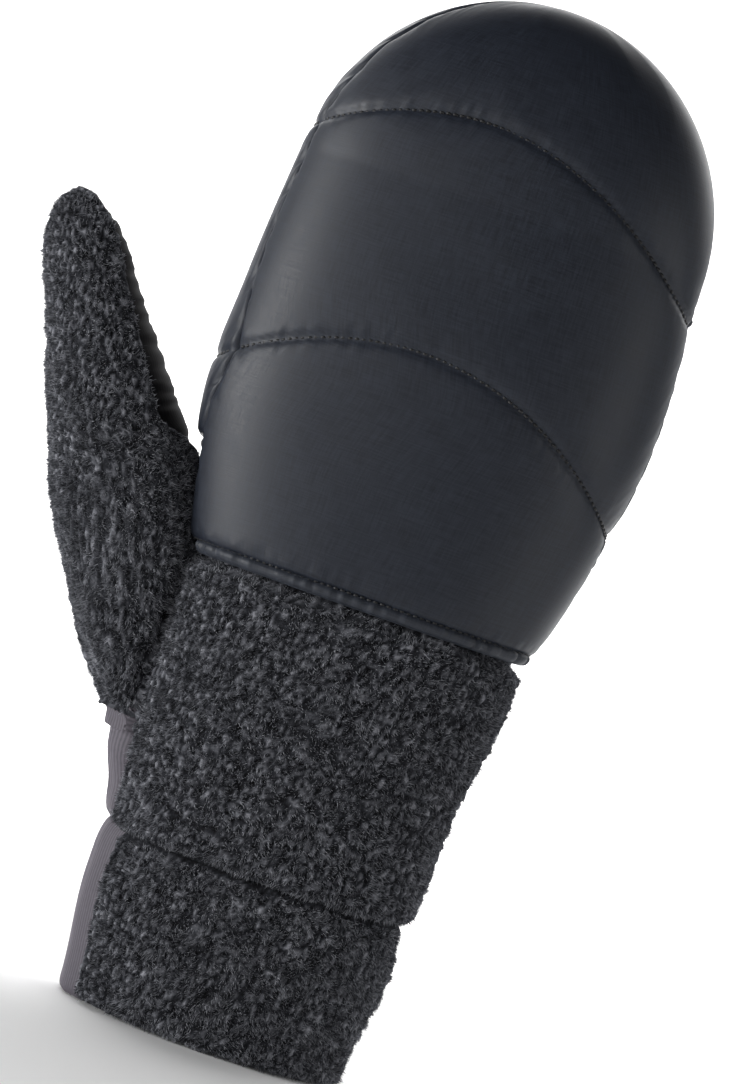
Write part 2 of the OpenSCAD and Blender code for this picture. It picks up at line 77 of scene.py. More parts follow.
# %% Heights, widths and depths
mm = 0.001
low, high = 0, 1
wrist_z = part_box("hand_back_panel")[low].z
hem_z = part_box("knuckle_hem")[low].z
hem_top_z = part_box("knuckle_hem")[high].z
hinge_z = frame["joints"][0]["pos_m"][2]
web_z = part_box("hand_back_panel")[high].z
tip_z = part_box("hood_back_shell")[high].z
hood_shift = 1.7 * mm
hood_side = (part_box("hood_palm_shell")[high].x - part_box("hood_palm_shell")[low].x) / 2
hood_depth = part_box("hood_palm_shell")[high].y
palm_side = hood_side - 10.3 * mm
palm_depth = hood_depth - 0.5 * mm
wrist_side = 42.5 * mm
cuff_side = 39.5 * mm
cuff_depth = 24.5 * mm
dome_h = 55 * mm
dome_z = tip_z - dome_h
full_z = hinge_z + 38 * mm
corner_z = hinge_z + 5 * mm
mouth_dip = 11 * mm
waist_z = wrist_z + 31 * mm
tip_taper = 2.4 * mm
wrist_shift = 1.8 * mm
fleece_t = 4.5 * mm
smooth_t = 2 * mm
pile_step = fleece_t - smooth_t
wall_t = 8 * mm
hem_t = 3.2 * mm
hem_h = 3.2 * mm
section_power = 0.91
root_power = 0.62
print(f"wrist {wrist_z:.4f}, hem {hem_z:.4f}, turning line {hinge_z:.4f}, tip {tip_z:.4f}")

# %% [markdown]
# ## Small formulas
# Cloth shapes need only a few: a straight mix, an eased step, and a sine or cosine with a power,
# which makes an ellipse a little squarer. All of them work on whole numpy arrays at once.

# %% Mix, ease and power
def mix(a, b, t):
    """a plus t times the way from a to b."""
    return a + (b - a) * t


def between(z, z0, z1):
    """0 up to z0, 1 from z1, and straight in between."""
    return np.clip((z - z0) / (z1 - z0), 0, 1)


def ease(t):
    """3t^2 - 2t^3, with t kept from 0 to 1."""
    t = np.clip(t, 0, 1)
    return t * t * (3 - 2 * t)


def power(c, p=section_power):
    """The size of c to the power p, with c's own sign."""
    return np.sign(c) * np.abs(c) ** p


def cosd(a):
    """Cosine of an angle in degrees."""
    return np.cos(np.radians(a))


def sind(a):
    """Sine of an angle in degrees."""
    return np.sin(np.radians(a))


def spread(*parts):
    """Arrays of any matching shapes as the coordinates of one grid of points."""
    return np.stack(np.broadcast_arrays(*parts), axis=-1)


# %% [markdown]
# ## Noise
# Pile, puckers and soft dents all need irregular but repeatable numbers. Blender has noise
# textures, but a shape that must export as geometry needs its noise in numpy. Each lattice point
# gets a number from a fixed integer hash, so nothing is random and every run is the same.

# %% Value noise and cell noise
def hashed(i, j, k, seed):
    """A number from 0 to 1 for each lattice point: products with large primes, mixed by shifts."""
    h = (i * 374761393 + j * 668265263 + k * 1440662683 + seed * 974634777) & 0xFFFFFFFF
    h = ((h ^ (h >> 13)) * 1274126177) & 0xFFFFFFFF
    h = ((h ^ (h >> 16)) * 2246822519) & 0xFFFFFFFF
    return ((h ^ (h >> 15)) & 0xFFFFFF) / float(0xFFFFFF)


def noise(points, size, seed=1):
    """Smooth noise from -1 to 1: hashed numbers at the corners of cells of that size, eased between."""
    p = points / np.array(size, float)
    base = np.floor(p).astype(np.int64)
    t = ease(p - base)
    total = 0
    for corner in range(8):
        step = np.array([corner & 1, corner >> 1 & 1, corner >> 2 & 1])
        weight = np.prod(np.where(step == 1, t, 1 - t), axis=-1)
        i, j, k = np.moveaxis(base + step, -1, 0)
        total = total + weight * hashed(i, j, k, seed)
    return 2 * total - 1


def clumps(points, size, seed=1):
    """Distance to the nearest and to the second nearest of jittered points, one to each cell."""
    p = points / np.array(size, float)
    base = np.floor(p).astype(np.int64)
    first = np.full(p.shape[:-1], 9.0)
    second = np.full(p.shape[:-1], 9.0)
    for n in range(27):
        step = np.array([n % 3 - 1, n // 3 % 3 - 1, n // 9 - 1])
        i, j, k = np.moveaxis(base + step, -1, 0)
        jitter = np.stack([hashed(i, j, k, seed + s) for s in range(3)], axis=-1)
        d = np.linalg.norm(base + step + 0.15 + 0.7 * jitter - p, axis=-1)
        second = np.minimum(second, np.maximum(first, d))
        first = np.minimum(first, d)
    return first, second


# %% [markdown]
# ## From a grid of points to a closed cloth piece
# A cloth piece has a face and a back. Both are the same grid of points, at two depths, and a strip
# of faces round the edge closes them. A Solidify modifier could do this, but here the two faces
# differ: puckers and pile belong to the face only. A ring, such as a finger stall, has no side
# edges. Poles, where a whole row meets in one point, are merged.

# %% Grid to mesh
def grid_faces(rows, columns, start, ring, turned):
    """Index quads of a grid whose points are numbered row by row from start."""
    j = np.arange(rows - 1)[:, None]
    i = np.arange(columns if ring else columns - 1)[None, :]
    a = start + j * columns + i
    b = start + j * columns + (i + 1) % columns
    quads = np.stack([a, b, b + columns, a + columns], axis=-1).reshape(-1, 4)
    return quads[:, ::-1] if turned else quads


def edge_faces(line_a, line_b):
    """Quads between two lines of point numbers."""
    return np.stack([line_a[:-1], line_b[:-1], line_b[1:], line_a[1:]], axis=-1)


def new_piece(name, points, faces, uv=None, values=None):
    """A mesh object from arrays: points, quads, an optional uv for each point, and named numbers."""
    mesh = bpy.data.meshes.new(name)
    mesh.from_pydata(points.reshape(-1, 3).tolist(), [], faces.tolist())
    if uv is not None:
        layer = mesh.uv_layers.new(name="cloth")
        layer.data.foreach_set("uv", uv.reshape(-1, 2)[faces.reshape(-1)].astype(np.float32).ravel())
    for key, value in (values or {}).items():
        attribute = mesh.attributes.new(key, "FLOAT", "POINT")
        attribute.data.foreach_set("value", value.astype(np.float32).ravel())
    work = bmesh.new()
    work.from_mesh(mesh)
    bmesh.ops.remove_doubles(work, verts=work.verts, dist=2e-6)
    bmesh.ops.dissolve_degenerate(work, dist=1e-7, edges=work.edges)
    bmesh.ops.recalc_face_normals(work, faces=work.faces)
    work.to_mesh(mesh)
    work.free()
    mesh.polygons.foreach_set("use_smooth", np.ones(len(mesh.polygons), bool))
    piece = bpy.data.objects.new(name, mesh)
    bpy.context.scene.collection.objects.link(piece)
    return piece


def cloth_uv(face):
    """Distances in metres across and along a grid, for patterns that follow the cloth."""
    across = np.linalg.norm(np.diff(face, axis=1), axis=-1).mean(axis=0)
    along = np.linalg.norm(np.diff(face, axis=0), axis=-1).mean(axis=1)
    u = np.concatenate([[0], np.cumsum(across)])
    v = np.concatenate([[0], np.cumsum(along)])
    return spread(u[None, :], v[:, None])


def cloth_piece(name, face, back, ring=False, values=None):
    """A closed piece between two grids of one size, its face and its back."""
    rows, columns = face.shape[:2]
    count = rows * columns
    numbers = np.arange(count).reshape(rows, columns)
    if ring:
        numbers = np.concatenate([numbers, numbers[:, :1]], axis=1)
    parts = [
        grid_faces(rows, columns, 0, ring, False),
        grid_faces(rows, columns, count, ring, True),
        edge_faces(numbers[0] + count, numbers[0])[:, ::-1],
        edge_faces(numbers[-1], numbers[-1] + count)[:, ::-1],
    ]
    if not ring:
        parts.append(edge_faces(numbers[:, 0], numbers[:, 0] + count)[:, ::-1])
        parts.append(edge_faces(numbers[:, -1] + count, numbers[:, -1])[:, ::-1])
    uv = cloth_uv(face)
    full = {}
    for key, value in (values or {}).items():
        full[key] = np.stack([value, value * 0 + value.mean()])
    return new_piece(name, np.stack([face, back]), np.concatenate(parts), np.stack([uv, uv]), full)


def normals(face, ring=False):
    """Unit normals of a grid: the cross product of its steps across and along."""
    if ring:
        wide = np.concatenate([face[:, -1:], face, face[:, :1]], axis=1)
        across = np.gradient(wide, axis=1)[:, 1:-1]
    else:
        across = np.gradient(face, axis=1)
    n = np.cross(across, np.gradient(face, axis=0))
    return n / np.maximum(np.linalg.norm(n, axis=-1, keepdims=True), 1e-12)


# %% [markdown]
# ## Stitches
# A row of machine stitches is a line of short threads, each of which dives into the cloth at both
# ends. One stitch is a small rounded tube. Arrays of a modifier would follow a curve too, but the
# positions come straight from the distance along the seam, so all stitches are made in one go.

# %% Rows of stitches
def stitch_row(name, path, outward, pitch=1.7 * mm, length=1.45 * mm, radius=0.42 * mm, lift=0.1 * mm):
    """Stitches along a line: centres every pitch along it, each a tube whose radius is
    radius * sqrt(1 - s^4) and whose height is lift minus radius * s^4, for s from -1 to 1."""
    far = np.concatenate([[0], np.cumsum(np.linalg.norm(np.diff(path, axis=0), axis=-1))])
    count = int((far[-1] - length) / pitch)
    centres = length / 2 + pitch * (np.arange(count) + 0.5)
    s = np.linspace(-0.98, 0.98, 6)
    at = centres[:, None] + s[None, :] * length / 2

    def on(values):
        return np.stack([np.interp(at, far, values[:, c]) for c in range(3)], axis=-1)

    place, up = on(path), on(outward)
    up = up / np.linalg.norm(up, axis=-1, keepdims=True)
    along = np.gradient(place, axis=1)
    along = along / np.linalg.norm(along, axis=-1, keepdims=True)
    side = np.cross(along, up)
    thick = (radius * np.sqrt(1 - s ** 4))[None, :, None, None]
    height = (lift - 1.2 * radius * s ** 4)[None, :, None, None]
    turn = np.arange(6) * 2 * np.pi / 6
    ring = np.cos(turn)[:, None] * side[:, :, None, :] + np.sin(turn)[:, None] * up[:, :, None, :]
    points = place[:, :, None, :] + height * up[:, :, None, :] + thick * ring
    one = np.concatenate([grid_faces(6, 6, 0, True, False), [[0, 1, 2, 3], [0, 3, 4, 5]],
                          [[33, 32, 31, 30], [35, 34, 33, 30]]])
    faces = (one[None] + 36 * np.arange(count)[:, None, None]).reshape(-1, 4)
    return new_piece(name, points, faces)


# %% [markdown]
# ## Pile
# High-pile fleece is a knit whose loops were cut and tumbled until they curled into small pebbles.
# Its face is built in two layers. The ground is pushed in between the pebbles by cell noise, and
# over it stand thousands of short hairs that lean the way their pebble does. Blender's hair would
# look the same, but it isn't geometry, so each hair here is a thin closed spike of four faces.

# %% Pebbled ground and hairs
pebble = np.array([1.7, 1.7, 3.0]) * mm
pebble_depth = 1.3 * mm


def pebbles(points, seed=3):
    """1 on top of a pebble and 0 in the gaps: from cell noise on points that coarser noise moves."""
    moved = points + 0.9 * mm * np.stack([noise(points, 3.4 * mm, seed + s) for s in range(3)], axis=-1)
    first, second = clumps(moved, pebble, seed)
    round_top = 1 - np.clip(first / 0.85, 0, 1) ** 2
    gap = ease((second - first) / 0.42)
    fine = noise(points, 0.8 * mm, seed + 7)
    return np.clip(0.2 + 0.55 * gap * (0.6 + 0.4 * round_top) + 0.3 * fine, 0, 1)


def fleece(name, face, back, press_and_fold_shade=1.0):
    """A closed fleece piece: its face is pushed in by pebble_depth times 0.85 minus the pebbles.
    The last argument, from 0 to 1, flattens the pile by a fold and lowers the pile value there, which paints
    shade in the fold."""
    out = normals(face)
    # The pile value shapes the face and colours it: painted shade where it is low, in gaps and folds.
    height = pebbles(face) * press_and_fold_shade
    large = 0.5 * mm * noise(face, 14 * mm, 11)
    pushed = face - out * (pebble_depth * (0.85 - height) - large)[..., None]
    return cloth_piece(name, pushed, back, values={"pile": height}), pushed, out


def hairs(name, face, out, count, seed, length=1.5 * mm, width=0.13 * mm):
    """Spikes rooted at random places of a grid: bilinear points, each leaning along a noise field."""
    rng = np.random.default_rng(seed)
    area = np.linalg.norm(np.cross(np.gradient(face, axis=1), np.gradient(face, axis=0)), axis=-1)
    cell = rng.choice(area.size, count, p=(area / area.sum()).ravel())
    rows, columns = area.shape
    j = np.minimum(cell // columns, rows - 2)
    i = np.minimum(cell % columns, columns - 2)
    s, t = rng.random(count)[:, None], rng.random(count)[:, None]

    def spot(g):
        return mix(mix(g[j, i], g[j, i + 1], s), mix(g[j + 1, i], g[j + 1, i + 1], s), t)

    root, up = spot(face), spot(out)
    lean = np.stack([noise(root, 2.6 * mm, 40 + c) for c in range(3)], axis=-1) * 1.1
    lean[:, 2] -= 0.25
    way = up * (0.35 + 0.5 * rng.random((count, 1))) + lean + 0.35 * rng.normal(size=(count, 3))
    way = way / np.linalg.norm(way, axis=-1, keepdims=True)
    side = np.cross(way, up + 0.01)
    side = side / np.linalg.norm(side, axis=-1, keepdims=True)
    third = np.cross(way, side)
    reach = length * (0.45 + 0.55 * rng.random((count, 1)))
    base = root - up * 0.35 * mm
    points = np.stack([base + width * (side * math.cos(q) + third * math.sin(q))
                       for q in (0, 2.094, 4.189)] + [root + way * reach], axis=1)
    shade = np.repeat(rng.random(count)[:, None], 4, axis=1)
    # The tip point is lighter than the root: a painted highlight where the hair tips catch the light.
    shade[:, 3] = np.clip(shade[:, 3] + 0.25, 0, 1)
    triangles = np.array([[0, 2, 1], [0, 1, 3], [1, 2, 3], [2, 0, 3]])
    faces = (triangles[None] + 4 * np.arange(count)[:, None, None]).reshape(-1, 3)
    mesh = bpy.data.meshes.new(name)
    mesh.from_pydata(points.reshape(-1, 3).tolist(), [], faces.tolist())
    attribute = mesh.attributes.new("shade", "FLOAT", "POINT")
    attribute.data.foreach_set("value", shade.astype(np.float32).ravel())
    piece = bpy.data.objects.new(name, mesh)
    bpy.context.scene.collection.objects.link(piece)
    return piece


# %% [markdown]
# ## Materials: how a node is added
# Every finish below is a small node graph. One helper adds a node with its settings and links, and
# one turns an sRGB hex colour, as a dyer would name it, into the linear values that shaders use.

# %% Node and colour helpers
def linear(code):
    """sRGB hex to linear: (c + 0.055) / 1.055 to the power 2.4, or c / 12.92 for dark values."""
    c = np.array([int(code[i:i + 2], 16) for i in (1, 3, 5)]) / 255
    return (*np.where(c <= 0.04045, c / 12.92, ((c + 0.055) / 1.055) ** 2.4), 1.0)


def add(tree, kind, inputs=None, **settings):
    """Adds a node, sets its properties, and fills each input with a value or a link."""
    node = tree.nodes.new(kind)
    for key, value in settings.items():
        setattr(node, key, value)
    for key, value in (inputs or {}).items():
        if isinstance(value, bpy.types.NodeSocket):
            tree.links.new(value, node.inputs[key])
        else:
            node.inputs[key].default_value = value
    return node


def new_material(name):
    """An empty node material and its tree."""
    material = bpy.data.materials.new(name)
    material.use_nodes = True
    material.node_tree.nodes.clear()
    return material, material.node_tree


def finish_surface(tree, shader):
    """Links a shader to the material's output."""
    add(tree, "ShaderNodeOutputMaterial", {"Surface": shader.outputs[0]})


def ramp(tree, value, stops):
    """A colour ramp node through [position, hex colour] stops."""
    node = add(tree, "ShaderNodeValToRGB", {"Fac": value})
    while len(node.color_ramp.elements) < len(stops):
        node.color_ramp.elements.new(0.5)
    for element, (position, code) in zip(node.color_ramp.elements, stops):
        element.position = position
        element.color = linear(code)
    return node


def scaled(tree, value, low, high_end):
    """The value, with low to high_end stretched over 0 to 1, ready for a colour ramp."""
    node = add(tree, "ShaderNodeMapRange", {"Value": value, "From Min": low, "From Max": high_end})
    return node.outputs["Result"]


# %% [markdown]
# ## Charcoal high-pile fleece
# The ground is dyed polyester knit. Light sinks into the gaps between pebbles and catches the
# tips, and the colour paints this from the pile height that the geometry carries: painted shade
# in the gaps and painted light on the tips. A rough surface with a little sheen stands for the
# fibre ends that graze the light.

# %% Fleece ground and fleece hair
def make_fleece():
    """Colour from the pile height, painted shade in the gaps and painted light on the tips, broken up by
    fibre noise at about 0.5 mm.
    """
    material, tree = new_material("charcoal_high_pile_fleece")
    place = add(tree, "ShaderNodeTexCoord").outputs["Object"]
    pile = add(tree, "ShaderNodeAttribute", attribute_name="pile").outputs["Fac"]
    fibre = add(tree, "ShaderNodeTexNoise", {"Vector": place, "Scale": 1900.0, "Detail": 3.0})
    patch = add(tree, "ShaderNodeTexNoise", {"Vector": place, "Scale": 60.0, "Detail": 2.0})
    height = add(tree, "ShaderNodeMath", {0: fibre.outputs["Fac"], 1: 0.45, 2: pile},
                 operation="MULTIPLY_ADD")
    wide = add(tree, "ShaderNodeMath", {0: patch.outputs["Fac"], 1: 0.25, 2: height.outputs[0]},
               operation="MULTIPLY_ADD")
    # Dark end: painted shade in the pebble gaps and folds; light end: painted light on the pebble tops.
    tint = ramp(tree, scaled(tree, wide.outputs[0], 0.45, 1.3),
                [(0.0, "#09090b"), (0.35, "#26272b"), (0.7, "#525358"), (1.0, "#808187")])
    bump = add(tree, "ShaderNodeBump", {"Height": fibre.outputs["Fac"], "Strength": 0.6, "Distance": 0.0004})
    shader = add(tree, "ShaderNodeBsdfPrincipled", {
        "Base Color": tint.outputs["Color"], "Roughness": 0.95, "Normal": bump.outputs["Normal"],
        "Specular IOR Level": 0.1, "Sheen Weight": 0.1, "Sheen Roughness": 0.6,
        "Sheen Tint": linear("#a8adb8")})
    finish_surface(tree, shader)
    return material


def make_hair():
    """Polyester hair: each has its own random tone, and a painted highlight makes it lighter at the tip."""
    material, tree = new_material("charcoal_fleece_hair")
    shade = add(tree, "ShaderNodeAttribute", attribute_name="shade").outputs["Fac"]
    tint = ramp(tree, shade, [(0.0, "#101113"), (0.5, "#4a4b50"), (1.0, "#92949a")])
    shader = add(tree, "ShaderNodeBsdfPrincipled", {
        "Base Color": tint.outputs["Color"], "Roughness": 0.9, "Specular IOR Level": 0.1,
        "Sheen Weight": 0.08, "Sheen Roughness": 0.5, "Sheen Tint": linear("#b6bac4")})
    finish_surface(tree, shader)
    return material


fleece_finish = make_fleece()
hair_finish = make_hair()

# %% [markdown]
# ## Calendered nylon
# The hood's outer cloth is a fine plain weave pressed between hot rollers, which gives a soft
# sheen. Its threads are about 0.1 mm apart, too fine to show, so the weave is drawn as faint
# streaks 0.4 mm apart along both threads, which vary the colour, the gloss and the bump.

# %% Quilt cloth and hem cloth
def make_woven(name, dark, light, roughness, streak=0.4 * mm, run=7 * mm, bump_depth=0.00004, sheen=0.1):
    """A plain weave: noise stretched along the warp plus noise stretched along the weft."""
    material, tree = new_material(name)
    uv = add(tree, "ShaderNodeUVMap", uv_map="cloth").outputs["UV"]
    streaks = []
    for stretch in ((1 / streak, 1 / run, 1), (1 / run, 1 / streak, 1)):
        drawn = add(tree, "ShaderNodeMapping", {"Vector": uv, "Scale": stretch})
        threads = add(tree, "ShaderNodeTexNoise", {
            "Vector": drawn.outputs["Vector"], "Scale": 1.0, "Detail": 3.0, "Roughness": 0.6})
        streaks.append(threads.outputs["Fac"])
    weave = add(tree, "ShaderNodeMath", {0: streaks[0], 1: streaks[1]}, operation="ADD")
    tint = ramp(tree, scaled(tree, weave.outputs[0], 0.75, 1.25), [(0.0, dark), (1.0, light)])
    gloss = add(tree, "ShaderNodeMapRange", {
        "Value": weave.outputs[0], "From Min": 0.7, "From Max": 1.3, "To Min": roughness - 0.05,
        "To Max": roughness + 0.07})
    bump = add(tree, "ShaderNodeBump", {"Height": weave.outputs[0], "Strength": 0.5, "Distance": bump_depth})
    shader = add(tree, "ShaderNodeBsdfPrincipled", {
        "Base Color": tint.outputs["Color"], "Roughness": gloss.outputs["Result"],
        "Normal": bump.outputs["Normal"], "Specular IOR Level": 0.33, "Sheen Weight": sheen,
        "Sheen Roughness": 0.4, "Sheen Tint": linear("#9aa3b4")})
    finish_surface(tree, shader)
    return material


quilt_finish = make_woven("calendered_nylon", "#14171f", "#222731", 0.5, sheen=0.05)
hem_finish = make_woven("folded_nylon_hem", "#1d2027", "#2e323a", 0.55)

# %% [markdown]
# ## Stretch cloth, elastic and thread
# The palm is a smooth knitted stretch cloth with fine upright wales, warmer and lighter than the
# hood. The thumb's inner side is a much darker copy of the same cloth: painted shade for the shade
# that falls on that side. The elastic is a flat braid, and the thread is a twisted polyester that
# is nearly black.

# %% Stretch cloth, elastic and thread
def make_ribbed(name, dark, light, pitch, roughness, depth, sheen=0.15):
    """Upright ribs: a sine wave across the cloth, one period every pitch, with fibre noise on it."""
    material, tree = new_material(name)
    uv = add(tree, "ShaderNodeUVMap", uv_map="cloth").outputs["UV"]
    wale = add(tree, "ShaderNodeTexWave", {"Vector": uv, "Scale": math.tau / (20 * pitch), "Distortion": 1.2,
                                          "Detail": 2.0, "Detail Scale": 1.5},
               wave_type="BANDS", bands_direction="X")
    fibre = add(tree, "ShaderNodeTexNoise", {"Vector": uv, "Scale": 900.0, "Detail": 3.0})
    both = add(tree, "ShaderNodeMath", {0: fibre.outputs["Fac"], 1: 0.6, 2: wale.outputs["Fac"]},
               operation="MULTIPLY_ADD")
    tint = ramp(tree, scaled(tree, both.outputs[0], 0.1, 1.5), [(0.0, dark), (1.0, light)])
    bump = add(tree, "ShaderNodeBump", {"Height": both.outputs[0], "Strength": 0.6, "Distance": depth})
    shader = add(tree, "ShaderNodeBsdfPrincipled", {
        "Base Color": tint.outputs["Color"], "Roughness": roughness, "Normal": bump.outputs["Normal"],
        "Specular IOR Level": 2 * sheen, "Sheen Weight": sheen, "Sheen Roughness": 0.5,
        "Sheen Tint": linear("#b0a8b4")})
    finish_surface(tree, shader)
    return material


def make_thread():
    """Polyester thread: near black, with a dull shine that a twist 0.6 mm long breaks up."""
    material, tree = new_material("polyester_thread")
    place = add(tree, "ShaderNodeTexCoord").outputs["Object"]
    twist = add(tree, "ShaderNodeTexNoise", {"Vector": place, "Scale": 1700.0, "Detail": 1.0})
    tint = ramp(tree, twist.outputs["Fac"], [(0.3, "#050506"), (0.7, "#151518")])
    shader = add(tree, "ShaderNodeBsdfPrincipled", {"Base Color": tint.outputs["Color"], "Roughness": 0.5})
    finish_surface(tree, shader)
    return material


stretch_finish = make_ribbed("smooth_stretch_knit", "#3b383e", "#5a565e", 0.8 * mm, 0.7, 0.00002)
# A darker, less glossy copy of the stretch knit: painted shade for the thumb's inner side.
thumb_painted_shade_knit = make_ribbed("stretch_knit_painted_shade", "#08080a", "#121114", 0.8 * mm, 0.75, 0.00002, 0.04)
elastic_finish = make_ribbed("braided_elastic", "#121214", "#26262a", 1.2 * mm, 0.6, 0.0002)
thread_finish = make_thread()


def dress(piece, material, body, slot, *replaced):
    """Gives a piece its material and its body, and hides the CAD nodes it stands for. The slot is not used.
    """
    piece.data.materials.clear()
    piece.data.materials.append(material)
    if body:
        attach(piece, body)
    if replaced:
        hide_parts(*replaced)
    print(piece.name, len(piece.data.vertices), "points", len(piece.data.polygons), "faces")
    return piece


# %% [markdown]
# ## The outline of the quilted hood
# Every section across the hood is an ellipse made a little square. Its half width and half depth
# grow from the hem to the knuckles, stay, and shrink along a quarter ellipse over the fingertips.
# A loft of drawn sections would do, but one formula gives any point, at any depth in the wall.

# %% Hood outline and seams
def hood_half_w(z):
    """From palm_side at the hem to hood_side at full_z along a sine, then a small taper."""
    rise = mix(palm_side, hood_side, np.sin(np.pi / 2 * between(z, hem_z, full_z)))
    fall = tip_taper * (1 - np.cos(np.pi / 2 * between(z, full_z, dome_z)))
    return rise - fall


def hood_half_t(z):
    """The same for the depth, with an eased rise."""
    rise = mix(palm_depth, hood_depth, ease(between(z, hem_z, full_z)))
    fall = tip_taper * (1 - np.cos(np.pi / 2 * between(z, full_z, dome_z)))
    return rise - fall


def hood_point(a, z, d):
    """(half width - d) cos a, (half depth - d) sin a, each with the section's power. Over dome_z
    both shrink by sqrt(1 - h^2), where h is the share of the dome's height."""
    h = between(z, dome_z, tip_z)
    shrink = np.sqrt(np.maximum(0, 1 - h * h))
    x = hood_shift * ease(between(z, hinge_z + 14 * mm, full_z + 12 * mm))
    x = x + (hood_half_w(np.minimum(z, dome_z)) - d) * shrink * power(cosd(a))
    y = (hood_half_t(np.minimum(z, dome_z)) - d) * shrink * power(sind(a))
    return spread(x, y, np.where(z <= dome_z, z, dome_z + h * (dome_h - d)))


lower_peak = np.array([-7 * mm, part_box("lower_quilt_thread")[high].z - 0.4 * mm])
upper_peak = np.array([-12 * mm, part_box("upper_quilt_thread")[high].z - 0.4 * mm])
lower_bend, upper_bend = 6.8, 6.4
edge_run = 26 * mm


def quilt_seam(a, peak, bend):
    """An arc that falls away from its peak by bend times the square of the distance in x."""
    return peak[1] - bend * (hood_side * power(cosd(a)) - peak[0]) ** 2


def lower_quilt(a):
    """The seam between the lower and the middle baffle."""
    return quilt_seam(a, lower_peak, lower_bend)


def upper_quilt(a):
    """The seam between the middle baffle and the tip."""
    return quilt_seam(a, upper_peak, upper_bend)


def mouth_line(a):
    """The hood's edge on the palm side: it dips by mouth_dip * sin(a)^2 below its corners."""
    return corner_z - mouth_dip * np.maximum(0, sind(a)) ** 2


def wall_from(z, edge):
    """Wall thickness: hem_t at an edge, eased to wall_t over edge_run."""
    return mix(hem_t, wall_t, ease((z - edge) / edge_run))


# %% [markdown]
# ## Quilting
# Wadding swells between the stitched lines, and the cloth is drawn in at each of them. Close to a
# stitch line the cloth gathers into short puckers that run away from the line. The depth below
# the full outline is a circular valley at each seam, a narrow crease in it, and the puckers. A
# slope turns heights into distances from a slanting seam, and a mean radius turns angles into them.

# %% Valley, crease and puckers
def valley(s, deep, reach):
    """deep * (1 - sqrt(1 - (1 - s / reach)^2)) within reach of the seam, and 0 beyond."""
    t = 1 - np.clip(np.abs(s) / reach, 0, 1)
    return deep * (1 - np.sqrt(np.maximum(0, 1 - t * t)))


def crease(s, deep, wide):
    """deep * exp(-(s / wide)^2)."""
    return deep * np.exp(-(s / wide) ** 2)


def puckers(along, s, deep, pitch, reach, seed):
    """Ridges across a seam: noise with a short step along it and a long step away from it,
    which fades as exp(-s / reach) and swells from the stitches."""
    where = spread(along / pitch, s / (4 * pitch), 0 * along)
    ridge = noise(where, 1.0, seed) + 0.5 * noise(where * 2.1, 1.0, seed + 1)
    fade = np.exp(-np.abs(s) / reach) * (1 - np.exp(-(np.abs(s) / (0.7 * mm)) ** 2))
    return deep * ridge * fade


seam_valley, seam_reach = 1.0 * mm, 10 * mm
seam_crease, crease_wide = 0.5 * mm, 0.9 * mm
hem_valley, hem_reach = 0.9 * mm, 7 * mm
edge_valley, edge_reach = 1.1 * mm, 4 * mm
slope = 0.93
around = 40 * mm
billow = 0.45 * mm


def quilt_depth(a, z, start, seam_angles, edge_pucker):
    """How far the outer cloth lies under the full outline, over a whole quilted face."""
    x = hood_side * power(cosd(a))
    total = 0
    for seed, seam in ((21, lower_quilt(a)), (31, upper_quilt(a))):
        s = (z - seam) * slope
        total = total + valley(s, seam_valley, seam_reach) + crease(s, seam_crease, crease_wide)
        total = total - puckers(x, s, 0.34 * mm, 1.9 * mm, 2.2 * mm, seed)
    s = z - start
    total = total + valley(s, hem_valley, hem_reach) - puckers(x, s, 0.4 * mm, 2.1 * mm, 2.6 * mm, 41)
    for seed, edge in zip((51, 61), seam_angles):
        s = np.radians(np.abs(a - edge)) * around
        total = total + valley(s, edge_valley, edge_reach)
        total = total - puckers(z + 0.9 * s, s, edge_pucker, 2.8 * mm, 5 * mm, seed)
    place = spread(x, a * 0.5 * mm, z)
    return np.maximum(0, total + billow * noise(place, 22 * mm, 71))


# %% [markdown]
# ## Rows and columns of a quilted face
# The face is covered by rows about a millimetre apart: straight up to the dome, and by equal turns
# over it, so that they stay even as the hood closes. On the thumb's side the outline seam swings
# from the side of the hand towards the back, so columns there follow it.

# %% Grid of a face
grid_step = 1.0 * mm


def face_rows(start):
    """Heights from start to the dome in even steps, then dome_z + dome_h sin t in even turns."""
    straight = np.linspace(0, 1, int((dome_z - start.min()) / grid_step))
    turns = np.linspace(0, 90, 84)[1:]
    lower = start[None, :] + (dome_z - start[None, :]) * straight[:, None]
    upper = np.broadcast_to(dome_z + dome_h * sind(turns)[:, None], (len(turns), len(start)))
    return np.concatenate([lower, upper])


swing_root, swing_roll, swing_tip = 3.5, 9.0, 5.0
widest_z = hinge_z + 32 * mm


def seam_swing(z):
    """How far, in degrees, the seam on the thumb's side has swung towards the back: swing_root
    above the hem, up to swing_roll more where the palm face rolls over the side, and swing_tip
    at the fingertips."""
    tip = ease(between(z, upper_peak[1] - 13 * mm, upper_peak[1] + 7 * mm))
    root = ease(between(z, hem_z + 4 * mm, corner_z - 1 * mm))
    return swing_root * root + swing_roll * np.exp(-((z - widest_z) / (15 * mm)) ** 2) + swing_tip * tip


back_seams = (192.0, 357.0)
palm_seams = (-3.0, 192.0)
columns = 210

# %% [markdown]
# ## The quilted back
# It is one continuous padded panel from the hem to the fingertips. Its lower 20 mm are sewn to the
# glove, and the rest turns with the hood, so the real panel bends at the line on which the hood
# turns. This piece is attached to neither body and keeps its shape. The CAD frame holds it as two
# stacks of plies, which this piece replaces.

